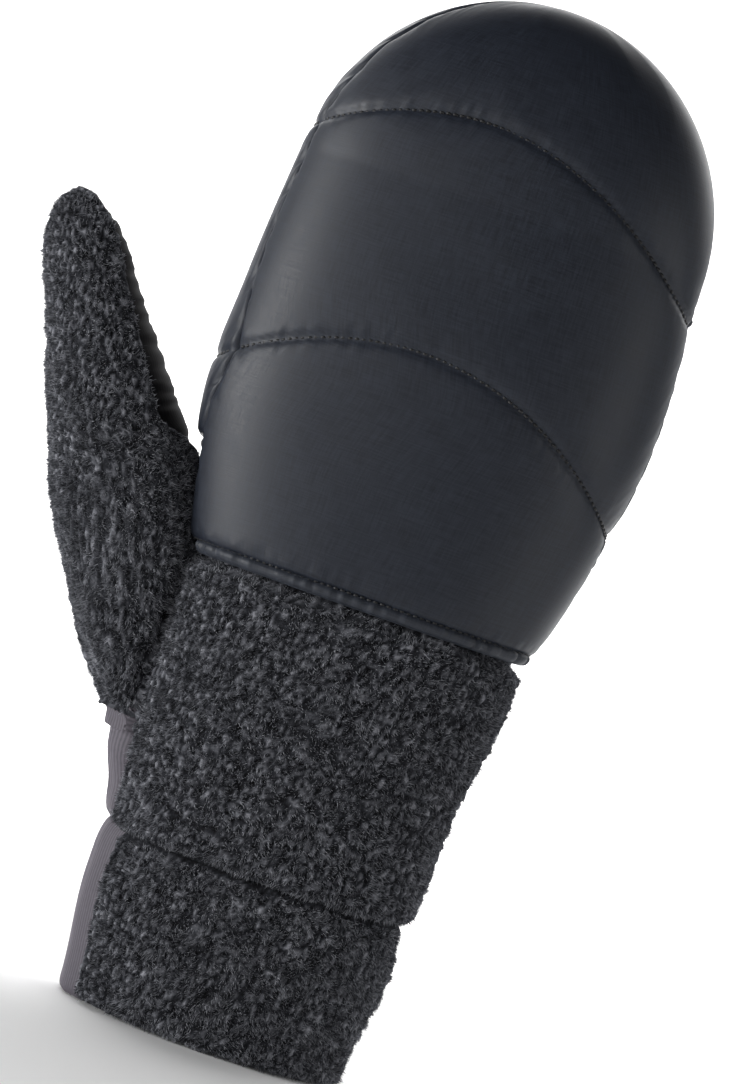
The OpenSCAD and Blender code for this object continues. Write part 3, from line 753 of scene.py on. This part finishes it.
# %% Quilted back panel
def quilted_face(seams, start_of, swing_sign, wall_edge, edge_pucker):
    """The outer and inner grids of a face, from its start line to the tip."""
    u = np.linspace(0, 1, columns)
    a0 = mix(seams[0], seams[1], u)
    z = face_rows(start_of(a0))
    share = 1 - u if swing_sign > 0 else u
    a = a0[None, :] + seam_swing(z) * share[None, :]
    ends = (a[:, :1], a[:, -1:])
    d = quilt_depth(a, z, start_of(a), ends, edge_pucker)
    wall = wall_from(z, wall_edge(a))
    return hood_point(a, z, np.minimum(d, wall - 1.2 * mm)), hood_point(a, z, wall)


def hem_start(a):
    """The back panel starts at the top of its hem."""
    return hem_top_z + 0 * a


outer, inner = quilted_face(back_seams, hem_start, 1, lambda a: hem_z + 0 * a, 0.4 * mm)
quilted_back = cloth_piece("quilted_back_panel", outer, inner)
dress(quilted_back, quilt_finish, None, "quilt_shell", "knuckle_shell", "knuckle_wadding", "knuckle_lining",
      "hood_back_shell", "hood_back_wadding", "hood_back_lining")
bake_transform(quilted_back)

# %% [markdown]
# ## The palm face of the hood
# The same quilting closes the hood on the palm side, down to the mouth through which the fingers
# come out. On the real mitten it flattens as the empty hood is laid back over the hand; this piece
# keeps its shape and turns with the hood.

# %% Quilted palm face
outer, inner = quilted_face(palm_seams, lambda a: mouth_line(a) + hem_h, -1, mouth_line, 0.9 * mm)
quilted_palm = cloth_piece("quilted_palm_face", outer, inner)
dress(quilted_palm, quilt_finish, "hood", "quilt_shell", "hood_palm_shell", "hood_palm_wadding",
      "hood_palm_lining")
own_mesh(quilted_palm)

# %% [markdown]
# ## Hem and mouth binding
# Both edges are folded over and topstitched. The strip between the fold and the stitches puckers
# in small ridges, because the stitches draw it shorter than the cloth on either side.

# %% Folded edges
def folded_edge(name, seams, line, tall, material, body, node, seed, end_turns=14):
    """A strip along a line: its depth is 1.3 mm at both edges and less in the middle, with ridges,
    and its ends are tucked in over a share 1 / end_turns of its length."""
    a = np.linspace(*seams, 260)[None, :]
    v = np.linspace(0, 1, 9)[:, None]
    z = line(a) + tall * v
    share = between(a, *seams)
    a = a + seam_swing(line(a)) * (1 - share if seams[0] > 100 else share)
    ridge = noise(spread(a * 0.8 * mm, 0 * z, z), (1.5 * mm, 1, 9 * mm), seed)
    tuck = 4.6 * mm * (1 - ease(np.minimum(share, 1 - share) * end_turns))
    d = 1.3 * mm - 1.5 * mm * np.sqrt(np.maximum(0, 1 - (2 * v - 1) ** 2)) - 0.42 * mm * ridge + tuck
    face = hood_point(a + 0 * z, z, d)
    piece = cloth_piece(name, face, hood_point(a + 0 * z, z, hem_t + tuck))
    return dress(piece, material, body, "hem", node)


folded_edge("quilted_hem", back_seams, lambda a: hem_z + 0 * a, hem_top_z - hem_z, hem_finish, "glove",
            "knuckle_hem", 81)
binding = folded_edge("mouth_binding_cloth", (-2, 191), mouth_line, hem_h, hem_finish, "hood",
                      "mouth_binding", 82, end_turns=6)
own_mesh(binding)

# %% [markdown]
# ## Seam threads
# Dark thread shows on every seam of the hood. The rows lie in the creases that the quilting depth
# leaves for them, so both use the same seam lines.

# %% Stitches on the hood
def seam_stitches(name, node, seams, line, body, depth, **sizes):
    """A row of stitches along a line on the hood, at that depth under the full outline."""
    a = np.linspace(seams[0] + 1.5, seams[1] - 1.5, 400)
    share = between(a, *seams)
    a = a + seam_swing(line(a)) * (1 - share if seams[0] > 100 else share)
    path = hood_point(a, line(a), depth + 0 * a)
    out = path - hood_point(a, line(a), depth + 1 * mm + 0 * a)
    piece = stitch_row(name, path, out, **sizes)
    return dress(piece, thread_finish, body, "thread", node)


seam_depth = seam_valley + seam_crease - 0.3 * mm
seam_stitches("hem_stitches", "knuckle_hem_thread", back_seams, hem_start, "glove", 1.2 * mm)
seam_stitches("lower_quilt_stitches", "lower_quilt_thread", back_seams, lower_quilt, "hood", seam_depth)
seam_stitches("upper_quilt_stitches", "upper_quilt_thread", back_seams, upper_quilt, "hood", seam_depth)
for name, node, line in (("palm_lower_quilt_stitches", "palm_lower_quilt_thread", lower_quilt),
                         ("palm_upper_quilt_stitches", "palm_upper_quilt_thread", upper_quilt)):
    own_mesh(seam_stitches(name, node, palm_seams, line, "hood", seam_depth))

# %% [markdown]
# ## The mouth's elastic
# A flat elastic lies inside the palm face just above the mouth, and pulls it to the palm.

# %% Mouth elastic
a = np.linspace(-8, 188, 200)[None, :]
v = np.linspace(0, 1, 8)[:, None]
z = mouth_line(a) + 3.6 * mm + 6 * mm * v
at_wall = wall_from(z, mouth_line(a)) + 0.15 * mm
mouth_elastic = cloth_piece("mouth_elastic_band", hood_point(a + 0 * z, z, at_wall + 0.8 * mm),
                            hood_point(a + 0 * z, z, at_wall))
dress(mouth_elastic, elastic_finish, "hood", "elastic", "mouth_elastic")
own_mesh(mouth_elastic)

# %% [markdown]
# ## The outline of the hand
# The hand's section follows the same rule as the hood's. Below the hem it has the full fleece, and
# under the quilted panel the pile is pressed down and the hand narrows to the finger roots.

# %% Hand outline
press_z = (hem_z - 3.6 * mm, hem_z - 0.3 * mm)
hand_seams = (196.0, 356.0)
side_room, depth_room = 7 * mm, 5.6 * mm


def root_share(z):
    """0 at the turning line and 1 at the finger roots, eased."""
    return ease(between(z, hinge_z, web_z))


def hand_half(z, bare, hood_half, room):
    """The bare half size up to press_z, then the hood's half size less its wall and the room."""
    covered = hood_half(np.maximum(z, hem_z)) - wall_from(np.maximum(z, hem_z), hem_z) - 0.7 * mm
    covered = covered - room * root_share(z)
    return mix(bare, covered, ease(between(z, *press_z)))


def hand_half_w(z):
    """wrist_side up to the waist, then a sine to palm_side at the hem."""
    bare = mix(wrist_side, palm_side, np.sin(np.pi / 2 * between(z, waist_z, hem_z)))
    return hand_half(z, bare, hood_half_w, side_room)


def hand_half_t(z):
    """From the cuff's depth to the hem's along a sine."""
    rise = np.sin(np.pi / 2 * between(z, wrist_z, waist_z))
    bare = mix(cuff_depth + 0.8 * mm, palm_depth - 0.3 * mm, rise)
    return hand_half(z, bare, hood_half_t, depth_room)


def middle_x(z):
    """The wrist sits to the thumb's side of the fingers by wrist_shift."""
    return -wrist_shift * (1 - ease(between(z, wrist_z + 15 * mm, hem_z - 8 * mm)))


base_bulge, base_bulge_h = 5.8 * mm, 18 * mm


def thumb_base(a, z):
    """The thumb's base stands out by base_bulge * exp(-(height / base_bulge_h)^2), over a window
    of angles, with the height counted from 26 mm above the wrist."""
    swell = base_bulge * np.exp(-((z - wrist_z - 26 * mm) / base_bulge_h) ** 2)
    return swell * ease((a - 100) / 60) * ease((hand_seams[0] + 3 - a) / 16)


def hand_point(a, z, d):
    """A point of the hand's section at depth d, with a squarer section at the finger roots."""
    p = mix(section_power, root_power, root_share(z))
    x = middle_x(z) - thumb_base(a, z) + (hand_half_w(z) - d) * power(cosd(a), p)
    return spread(x, (hand_half_t(z) - d) * power(sind(a), p), z)


# %% [markdown]
# ## The back of the hand
# One fleece panel runs from the wrist seam to the finger roots. Where it is gathered into the
# wrist it rolls over the seam, and the cuff below comes out from under the roll.

# %% Fleece back of the hand
def roll(z, edge, deep, tall):
    """A quarter-round edge: deep * (1 - sqrt(1 - (1 - s)^2)), for s = (z - edge) / tall."""
    return valley(z - edge, deep, tall)


roll_z = wrist_z - 1.5 * mm
rows = np.concatenate([np.linspace(roll_z, press_z[1], 100), np.linspace(press_z[1], web_z, 30)[1:]])
z = rows[:, None]
edge = mix(205, hand_seams[0] - 3, ease(between(z, wrist_z + 8 * mm, wrist_z + 32 * mm)))
a = mix(edge - 7, hand_seams[1], np.linspace(0, 1, 160)[None, :])
turned_in = 3.6 * mm * ease((edge - a) / 6)
face = hand_point(a, z, roll(z, roll_z, 3.2 * mm, 6 * mm) + turned_in)
back = hand_point(a, z, fleece_t + 0.8 * turned_in + 0 * z)
# Near the roll the pile is flatter and its colour darker: painted shade in the fold over the wrist seam.
press_and_fold_shade = mix(0.6, 1, ease((z - roll_z) / (2 * mm)))
hand_back, pushed, out = fleece("fleece_hand_back", face, back, press_and_fold_shade)
dress(hand_back, fleece_finish, "glove", "fleece", "hand_back_panel")
shown = rows < hem_z + 1 * mm
dress(hairs("fleece_hand_back_hair", pushed[shown], out[shown], 49000, 5), hair_finish, "glove", "fleece")

# %% [markdown]
# ## The palm of the hand
# The palm is smooth stretch cloth. Its edge on the thumb's side is cut out round the thumb, and
# the wrist elastic gathers it into upright puckers.

# %% Smooth palm
hole_low = wrist_z + 22 * mm
hole_high = hem_z + 4 * mm
hole_z = (hole_low + hole_high) / 2
hole_r = (hole_high - hole_low) / 2
hole_turn = 54.0


def hole_edge(z):
    """How far, in degrees, the thumb hole reaches into the palm at height z."""
    return hole_turn * np.sqrt(np.maximum(0, 1 - ((z - hole_z) / hole_r) ** 2))


def shirring(a, z, edge, deep, tall):
    """Upright gathers by the wrist seam, which fade away from it."""
    where = spread(a * 0.7 * mm, 0 * z, z)
    return deep * noise(where, (2.2 * mm, 1, 14 * mm), 91) * np.exp(-np.abs(z - edge) / tall)


turns = np.sin(np.linspace(-np.pi / 2, np.pi / 2, 60))
rows = np.concatenate([np.linspace(wrist_z, hole_low, 16)[:-1], hole_z + hole_r * turns,
                       np.linspace(hole_high, web_z, 50)[1:]])
z = rows[:, None]
u = np.linspace(0, 1, 130)[None, :]
a = mix(-7.5, hand_seams[0] + 3.5 - hole_edge(z), u)
hidden = np.maximum(0, np.maximum(-3.5 - a, a - (hand_seams[0] - 0.5 - hole_edge(z)))) * 0.4 * mm
soft = 0.5 * mm * noise(spread(a * 0.7 * mm, 0 * a, z), 16 * mm, 95)
tuck = roll(z, wrist_z, 2.3 * mm, 6 * mm) + shirring(a, z, wrist_z, 1.0 * mm, 8 * mm) + soft
rim = ease(1 - (hand_seams[0] - 0.5 - hole_edge(z) - a) / 22) * ease((hole_z - 4 * mm - z) / (14 * mm))
rim = rim * ease((z - wrist_z - 7 * mm) / (11 * mm))
face = hand_point(a, z, (pile_step + 0.4 * mm) * (1 - rim) - 0.4 * mm + np.maximum(tuck, -0.8 * mm) + hidden)
hand_palm = cloth_piece("stretch_palm", face, hand_point(a, z, fleece_t + 0.6 * mm + hidden))
dress(hand_palm, stretch_finish, "glove", "smooth_stretch", "hand_palm_panel")

# %% [markdown]
# ## The thumb
# The thumb is a tapering tube with a rounded end. Its foot lies on the edge of the thumb hole, and
# over its first 45 mm the foot's outline turns into the tube's round one.

# %% Thumb surface
thumb_l = 116 * mm
thumb_r = 24 * mm
thumb_taper = 0.155
thumb_dome_l = 25 * mm
thumb_lean = 29.5
thumb_root = np.array([-wrist_side - 2.4 * mm, 4 * mm, hole_z - 2.4 * mm])
thumb_axis = np.array([-sind(thumb_lean), 0.03, cosd(thumb_lean)])
thumb_side = np.array([cosd(thumb_lean), 0, sind(thumb_lean)])
thumb_blend_l, thumb_reach_l, root_reach = 45 * mm, 52 * mm, 0.42
seam_at_foot, seam_along, seam_to_tip = 82, 38, 8


def thumb_foot(f, d):
    """The foot's point at angle f: 0 at the back, 90 to the fingers, 180 at the palm."""
    z = hole_z + (hole_r - d) * sind(f)
    turn = hand_seams[0] - 0.6 + np.minimum(0, hole_turn * cosd(f))
    inward = -57 * cosd(f) * d / hand_half_t(z)
    return hand_point(turn + inward, z, -0.4 * mm)


def thumb_radius(s):
    """A straight taper, closed by a quarter ellipse over the thumb's end."""
    h = between(s, thumb_l - thumb_dome_l, thumb_l)
    straight = np.clip(s, 20 * mm, thumb_l - thumb_dome_l) - 20 * mm
    return (thumb_r - thumb_taper * straight) * np.sqrt(np.maximum(0, 1 - h * h))


def thumb_point(f, share, d):
    """A point at angle f and share of the length: the foot, eased into the round tube. Below a
    share of 0 lies the seam allowance, which runs from the foot into the hand."""
    f, share, d = np.broadcast_arrays(f, share, d)
    s = share * (thumb_l - np.where(share > 0.9, d * (share - 0.9) * 10, 0))
    full = thumb_radius(share * thumb_l)
    r = np.maximum(0, full - d * np.minimum(1, full / (8 * mm)))
    reach = np.where(sind(f) > 0, mix(root_reach, 1, ease(s / thumb_reach_l)), 1)
    tube = thumb_root + s[..., None] * thumb_axis
    tube = tube + (r * sind(f) * reach)[..., None] * thumb_side
    tube = tube + (r * cosd(f))[..., None] * np.array([0, -0.95, 0])
    foot = thumb_foot(f, d) + np.maximum(0, -s)[..., None] * np.array([1.0, 0, 0])
    return mix(foot, tube, ease(s / thumb_blend_l)[..., None])


def thumb_seam(share):
    """The seam on the fingers' side: at seam_at_foot degrees by the foot, seam_along farther up,
    and seam_to_tip more at its end."""
    s = share * thumb_l
    turned = mix(seam_at_foot, seam_along, ease((s - 40 * mm) / (15 * mm)))
    return turned + seam_to_tip * ease(between(s, 65 * mm, 105 * mm))


# %% [markdown]
# ## Fleece and smooth cloth on the thumb
# Fleece covers the back of the thumb and ends in a level seam above the wrist. Below that seam and
# on the palm side the thumb is smooth cloth. Rows near the tip are set by equal turns, so that the
# end stays round.

# %% Thumb pieces
fleece_low_z = wrist_z + 25.5 * mm
thumb_back_turn = 217.0
shares = np.concatenate([[-0.035, -0.015], np.linspace(0, 1 - thumb_dome_l / thumb_l, 100),
                         1 - thumb_dome_l / thumb_l * (1 - sind(np.linspace(0, 90, 40)[1:]))])
v = shares[:, None]
f = mix(thumb_back_turn, thumb_seam(v) + 360, np.linspace(0, 1, 100)[None, :])
heights = thumb_point(f, v, 0.0)[..., 2]
below = heights < fleece_low_z
start = shares[np.minimum(below.sum(axis=0), len(shares) - 1)]
start = np.where(below[2], start, -0.035)[None, :]


def thumb_fleece_grid(d):
    """The fleece part of the thumb: shares from the level seam to the tip."""
    share = np.where(start < 0, v, start + (1 - start) * np.maximum(0, v))
    turned = mix(thumb_back_turn, thumb_seam(share) + 360, np.linspace(0, 1, 100)[None, :])
    return thumb_point(turned, share, d)


thumb_back, pushed, out = fleece("fleece_thumb_back", thumb_fleece_grid(0.0), thumb_fleece_grid(fleece_t))
dress(thumb_back, fleece_finish, "glove", "fleece", "thumb_back_panel")
dress(hairs("fleece_thumb_hair", pushed[2:-3], out[2:-3], 44000, 6), hair_finish, "glove", "fleece")

share = np.linspace(-0.035, 0.16, 28)[:, None]
f = np.linspace(thumb_back_turn - 6, 345, 80)[None, :]
inset = 1.6 * mm + 12 * mm * np.maximum(0, share)
inset = mix(inset, -0.7 * mm, (1 - ease(share / 0.04)) * ease((290 - f) / 25))
gusset = cloth_piece("thumb_gusset", thumb_point(f, share, inset),
                     thumb_point(f, share, fleece_t + 0.5 * mm))
dress(gusset, stretch_finish, "glove", "smooth_stretch")

f = mix(thumb_seam(v) - 7, thumb_back_turn + 7, np.linspace(0, 1, 104)[None, :])
hidden = np.maximum(0, np.maximum(thumb_seam(v) - f, f - thumb_back_turn)) * 0.25 * mm
dent = 0.5 * mm * noise(spread(f * 0.3 * mm, v, v * thumb_l), 12 * mm, 97)
palm_depth_in = pile_step * np.minimum(1, thumb_radius(v * thumb_l) / (10 * mm)) + dent + hidden
# The thumb's inner side takes the darker copy of the stretch knit: painted shade.
thumb_palm = cloth_piece("stretch_thumb_palm", thumb_point(f, v, palm_depth_in),
                         thumb_point(f, v, fleece_t + 1 * mm))
dress(thumb_palm, thumb_painted_shade_knit, "glove", "smooth_stretch", "thumb_palm_panel")

# %% [markdown]
# ## The cuff
# Below the wrist the fleece narrows into a straight cuff, with smooth cloth along the thumb's side
# and the palm. Its rim is folded in, and a facing is sewn inside.

# %% Cuff
cuff_seams = (211.0, 356.0)
cuff_bulge = 2.4 * mm


def cuff_point(a, z, d):
    """The cuff's section: 2 mm narrower at the rim than the cuff's width, and 1 mm wider above. The
    smooth cloth stands out by cuff_bulge beside the pile, over a window of angles."""
    w = mix(cuff_side - 2 * mm, cuff_side + 1 * mm, ease(z / (31 * mm))) - d
    t = cuff_depth - 0.8 * mm + 0.8 * mm * np.sin(np.pi * z / wrist_z) - d
    x = -wrist_shift - cuff_bulge * ease((a - 110) / 50) * ease((cuff_seams[0] + 3 - a) / 20)
    x = x + w * power(cosd(a))
    return spread(x, t * power(sind(a)), z)


def cuff_edges(z):
    """The rim and the top of the cuff are turned in a little."""
    return valley(z, 1.6 * mm, 3 * mm) + valley(wrist_z - z, 2.8 * mm, 8 * mm)


z = np.linspace(0, wrist_z - 0.2 * mm, 60)[:, None]
a = np.linspace(*cuff_seams, 140)[None, :]
# Near the top of the cuff the pile is flatter and its colour darker: painted shade in the fold under the
# roll.
press_and_fold_shade = mix(0.3, 1, ease((wrist_z - z) / (3 * mm)))
cuff_back, pushed, out = fleece("fleece_cuff_back", cuff_point(a, z, cuff_edges(z)),
                                cuff_point(a, z, fleece_t + 0 * z), press_and_fold_shade)
dress(cuff_back, fleece_finish, "glove", "fleece", "cuff_back_panel")
shown = z[:, 0] < wrist_z - 2.2 * mm
dress(hairs("fleece_cuff_hair", pushed[shown], out[shown], 30000, 7), hair_finish, "glove", "fleece")

a = np.linspace(-3.5, cuff_seams[0] - 0.5, 160)[None, :]
gather = shirring(a, z, wrist_z, 0.7 * mm, 9 * mm)
face = cuff_point(a, z, pile_step + cuff_edges(z) * 0.8 + gather)
cuff_palm = cloth_piece("stretch_cuff_palm", face, cuff_point(a, z, fleece_t + 0 * z))
dress(cuff_palm, stretch_finish, "glove", "smooth_stretch", "cuff_palm_panel")

# %% [markdown]
# ## Inside the cuff
# The facing covers the raw edge of the rim, and a flat elastic draws in the palm side of the wrist.

# %% Facing and wrist elastic
lining_gap, lining_t = 0.25 * mm, 1.0 * mm
a = (np.arange(180) * 2.0)[None, :]
z = mix(*(corner.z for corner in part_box("cuff_facing")), np.linspace(0, 1, 24))[:, None]
ripple = 0.2 * mm * noise(spread(a * 0.6 * mm, 0 * z, z), 5 * mm, 99)
facing = cloth_piece("cuff_facing_cloth", cuff_point(a, z, fleece_t + lining_gap + 0 * z),
                     cuff_point(a, z, fleece_t + lining_gap + lining_t + ripple), ring=True)
dress(facing, stretch_finish, "glove", "smooth_stretch", "cuff_facing")

a = np.linspace(5, 190, 160)[None, :]
z = mix(*(corner.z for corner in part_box("wrist_elastic")), np.linspace(0, 1, 10))[:, None]
band = cloth_piece("wrist_elastic_band", cuff_point(a, z, fleece_t + lining_gap + 0 * z),
                   cuff_point(a, z, fleece_t + lining_gap + lining_t + 0 * z))
dress(band, elastic_finish, "glove", "elastic", "wrist_elastic")

# %% [markdown]
# ## Finger stalls
# Four open tubes of smooth cloth cover the fingers up to the middle joint. At the roots each tube
# fills its share of the hand's section, so that neighbours meet, and a fork of cloth rounds it
# into an oval. The top of each tube is turned in and stitched.

# %% Stalls, forks and hems
pitch = hand_half_w(web_z) / 2
root_half_t = hand_half_t(web_z)
fork_top = web_z + 6 * mm
stall_t = 1.8 * mm
stall_power = 0.83
t = (np.arange(72) * 5.0)[None, :]


def cell_ring(n):
    """The share of the hand's section that belongs to finger n: a rounded square in x, and in y
    the section's own depth at that x."""
    x = (n - 1.5) * pitch + pitch / 2 * power(cosd(t), 0.5)
    edge = np.clip(np.abs(x) / hand_half_w(web_z), 0, 0.985)
    depth = root_half_t * (1 - edge ** (2 / root_power)) ** (root_power / 2)
    return x, depth * power(sind(t), 0.5)


def stall_ring(n, z, d):
    """The oval of finger n: a little slimmer towards its top."""
    slim = 0.8 * mm * between(z, fork_top, web_z + 30 * mm) + d
    half_t = root_half_t - (2.2 if n in (0, 3) else 0.4) * mm
    x = (n - 1.5) * pitch + (pitch / 2 - 0.15 * mm - slim) * power(cosd(t), stall_power)
    return spread(x, (half_t - slim) * power(sind(t), stall_power), z)


def fork(n, d):
    """From the cell ring to the oval, eased over the fork's height."""
    v = np.linspace(0, 1, 12)[:, None]
    x, y = cell_ring(n)
    z = mix(web_z, fork_top, v)
    base = spread(x - d * cosd(t), y - d * sind(t), z)
    return mix(base, stall_ring(n, z, d), ease(v)[..., None])


fingers = ("index", "middle", "ring", "little")
forks = []
for n, finger in enumerate(fingers):
    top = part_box(f"{finger}_finger_stall")[high].z
    forks.append(cloth_piece(f"{finger}_fork", fork(n, 0.0), fork(n, 1.6 * mm), ring=True))
    z = np.linspace(fork_top, top, 30)[:, None]
    dent = 0.25 * mm * noise(spread(t * 0.2 * mm, n, z), 7 * mm, 101 + n)
    stall = cloth_piece(f"{finger}_stall", stall_ring(n, z, dent), stall_ring(n, z, stall_t), ring=True)
    dress(stall, stretch_finish, "glove", "smooth_stretch", f"{finger}_finger_stall")
    z = np.linspace(top - 4 * mm, top + 0.5 * mm, 8)[:, None]
    bulge = -0.1 * mm - 0.6 * mm * np.sqrt(np.maximum(0, 1 - np.linspace(-1, 1, 8)[:, None] ** 2))
    hem = cloth_piece(f"{finger}_hem", stall_ring(n, z, bulge), stall_ring(n, z, 0.2 * mm), ring=True)
    dress(hem, hem_finish, "glove", "hem", f"{finger}_finger_hem")

bpy.ops.object.select_all(action="DESELECT")
for piece in forks:
    piece.select_set(True)
bpy.context.view_layer.objects.active = forks[0]
bpy.ops.object.join()
forks[0].name = "finger_forks"
dress(forks[0], stretch_finish, "glove", "smooth_stretch", "finger_fourchettes")

# %% [markdown]
# ## Floor, light and camera
# The mitten stands on a pale sheet that curves up behind it. A large soft light low on the thumb's
# side does most of the work, with a weaker one from the other side and one in front. The camera is
# level with the middle of the mitten and is rolled, so that the mitten leans to the right.

# %% Stage
def plain_material(name, code):
    """A matt paint of one even colour, for the stage only: its mottle noise runs into a ramp whose two ends
    are the same colour.
    """
    material, tree = new_material(name)
    place = add(tree, "ShaderNodeTexCoord").outputs["Object"]
    mottle = add(tree, "ShaderNodeTexNoise", {"Vector": place, "Scale": 3.0})
    tint = ramp(tree, mottle.outputs["Fac"], [(0.0, code), (1.0, code)])
    shader = add(tree, "ShaderNodeBsdfPrincipled", {"Base Color": tint.outputs["Color"], "Roughness": 1.0,
                                                    "Specular IOR Level": 0.0})
    finish_surface(tree, shader)
    return material


turn = np.linspace(0, np.pi / 2, 24)
profile_y = np.concatenate([[-1.4], 1.2 + 0.8 * np.sin(turn), [2.0]])
profile_z = np.concatenate([[0.0], 0.8 - 0.8 * np.cos(turn), [3.5]])
x = np.array([-4.0, 4.0])
sheet = spread(x[None, :], profile_y[:, None], profile_z[:, None] - 0.3 * mm)
floor = new_piece("stage_sweep", sheet, grid_faces(len(profile_y), 2, 0, False, False), cloth_uv(sheet))
floor.data.materials.append(plain_material("white_paper", "#fbfbfb"))


def soft_light(name, place, target, wide, tall, power_w):
    """A rectangular area light that looks at a target."""
    data = bpy.data.lights.new(name, "AREA")
    data.shape, data.size, data.size_y, data.energy = "RECTANGLE", wide, tall, power_w
    light = bpy.data.objects.new(name, data)
    bpy.context.scene.collection.objects.link(light)
    way = np.array(target) - np.array(place)
    light.location = place
    light.rotation_mode = "QUATERNION"
    light.rotation_quaternion = Vector(way).to_track_quat("-Z", "Y")
    return light


middle = (0, 0, tip_z / 2)
soft_light("key_from_the_left", (-1.28, -0.5, 0.2), middle, 0.6, 0.36, 19)
soft_light("fill_from_the_right", (1.3, -0.75, 0.2), middle, 0.6, 1.2, 8)
soft_light("front_light", (-0.6, -1.7, 0.45), middle, 0.8, 0.8, 4)
soft_light("background_light", (0, 0.5, 0.9), (0, 2.0, 0.25), 2.5, 0.5, 40)
soft_light("floor_light", (0, 0.75, 0.7), (0, 0.75, 0), 2.4, 0.9, 26)

world = bpy.data.worlds.new("studio")
bpy.context.scene.world = world
world.use_nodes = True
world.node_tree.nodes["Background"].inputs["Color"].default_value = (1, 1, 1, 1)
world.node_tree.nodes["Background"].inputs["Strength"].default_value = 0.05
bpy.context.scene.view_settings.view_transform = "Standard"

# %% [markdown]
# The view is upright, and the mitten fills its height: 272 mm of the plane through the mitten. From
# 0.75 m that takes a lens of 36 mm x 0.75 / 0.272.

# %% Camera
lean = math.radians(19.5)
camera_distance = 0.75
view_height = 271.8 * mm
centre = np.array([-1.1 * mm, 0, 131.0 * mm])
data = bpy.data.cameras.new("camera")
data.lens = 36 * camera_distance / view_height
data.clip_start, data.clip_end = 0.05, 20
camera = bpy.data.objects.new("camera", data)
bpy.context.scene.collection.objects.link(camera)
right = np.array([math.cos(lean), 0, math.sin(lean)])
up = np.array([-math.sin(lean), 0, math.cos(lean)])
back_way = np.array([0, -1, 0])
turned = np.eye(4)
turned[:3, 0], turned[:3, 1], turned[:3, 2] = right, up, back_way
turned[:3, 3] = centre + camera_distance * back_way
camera.matrix_world = Matrix(turned.tolist())
bpy.context.scene.camera = camera
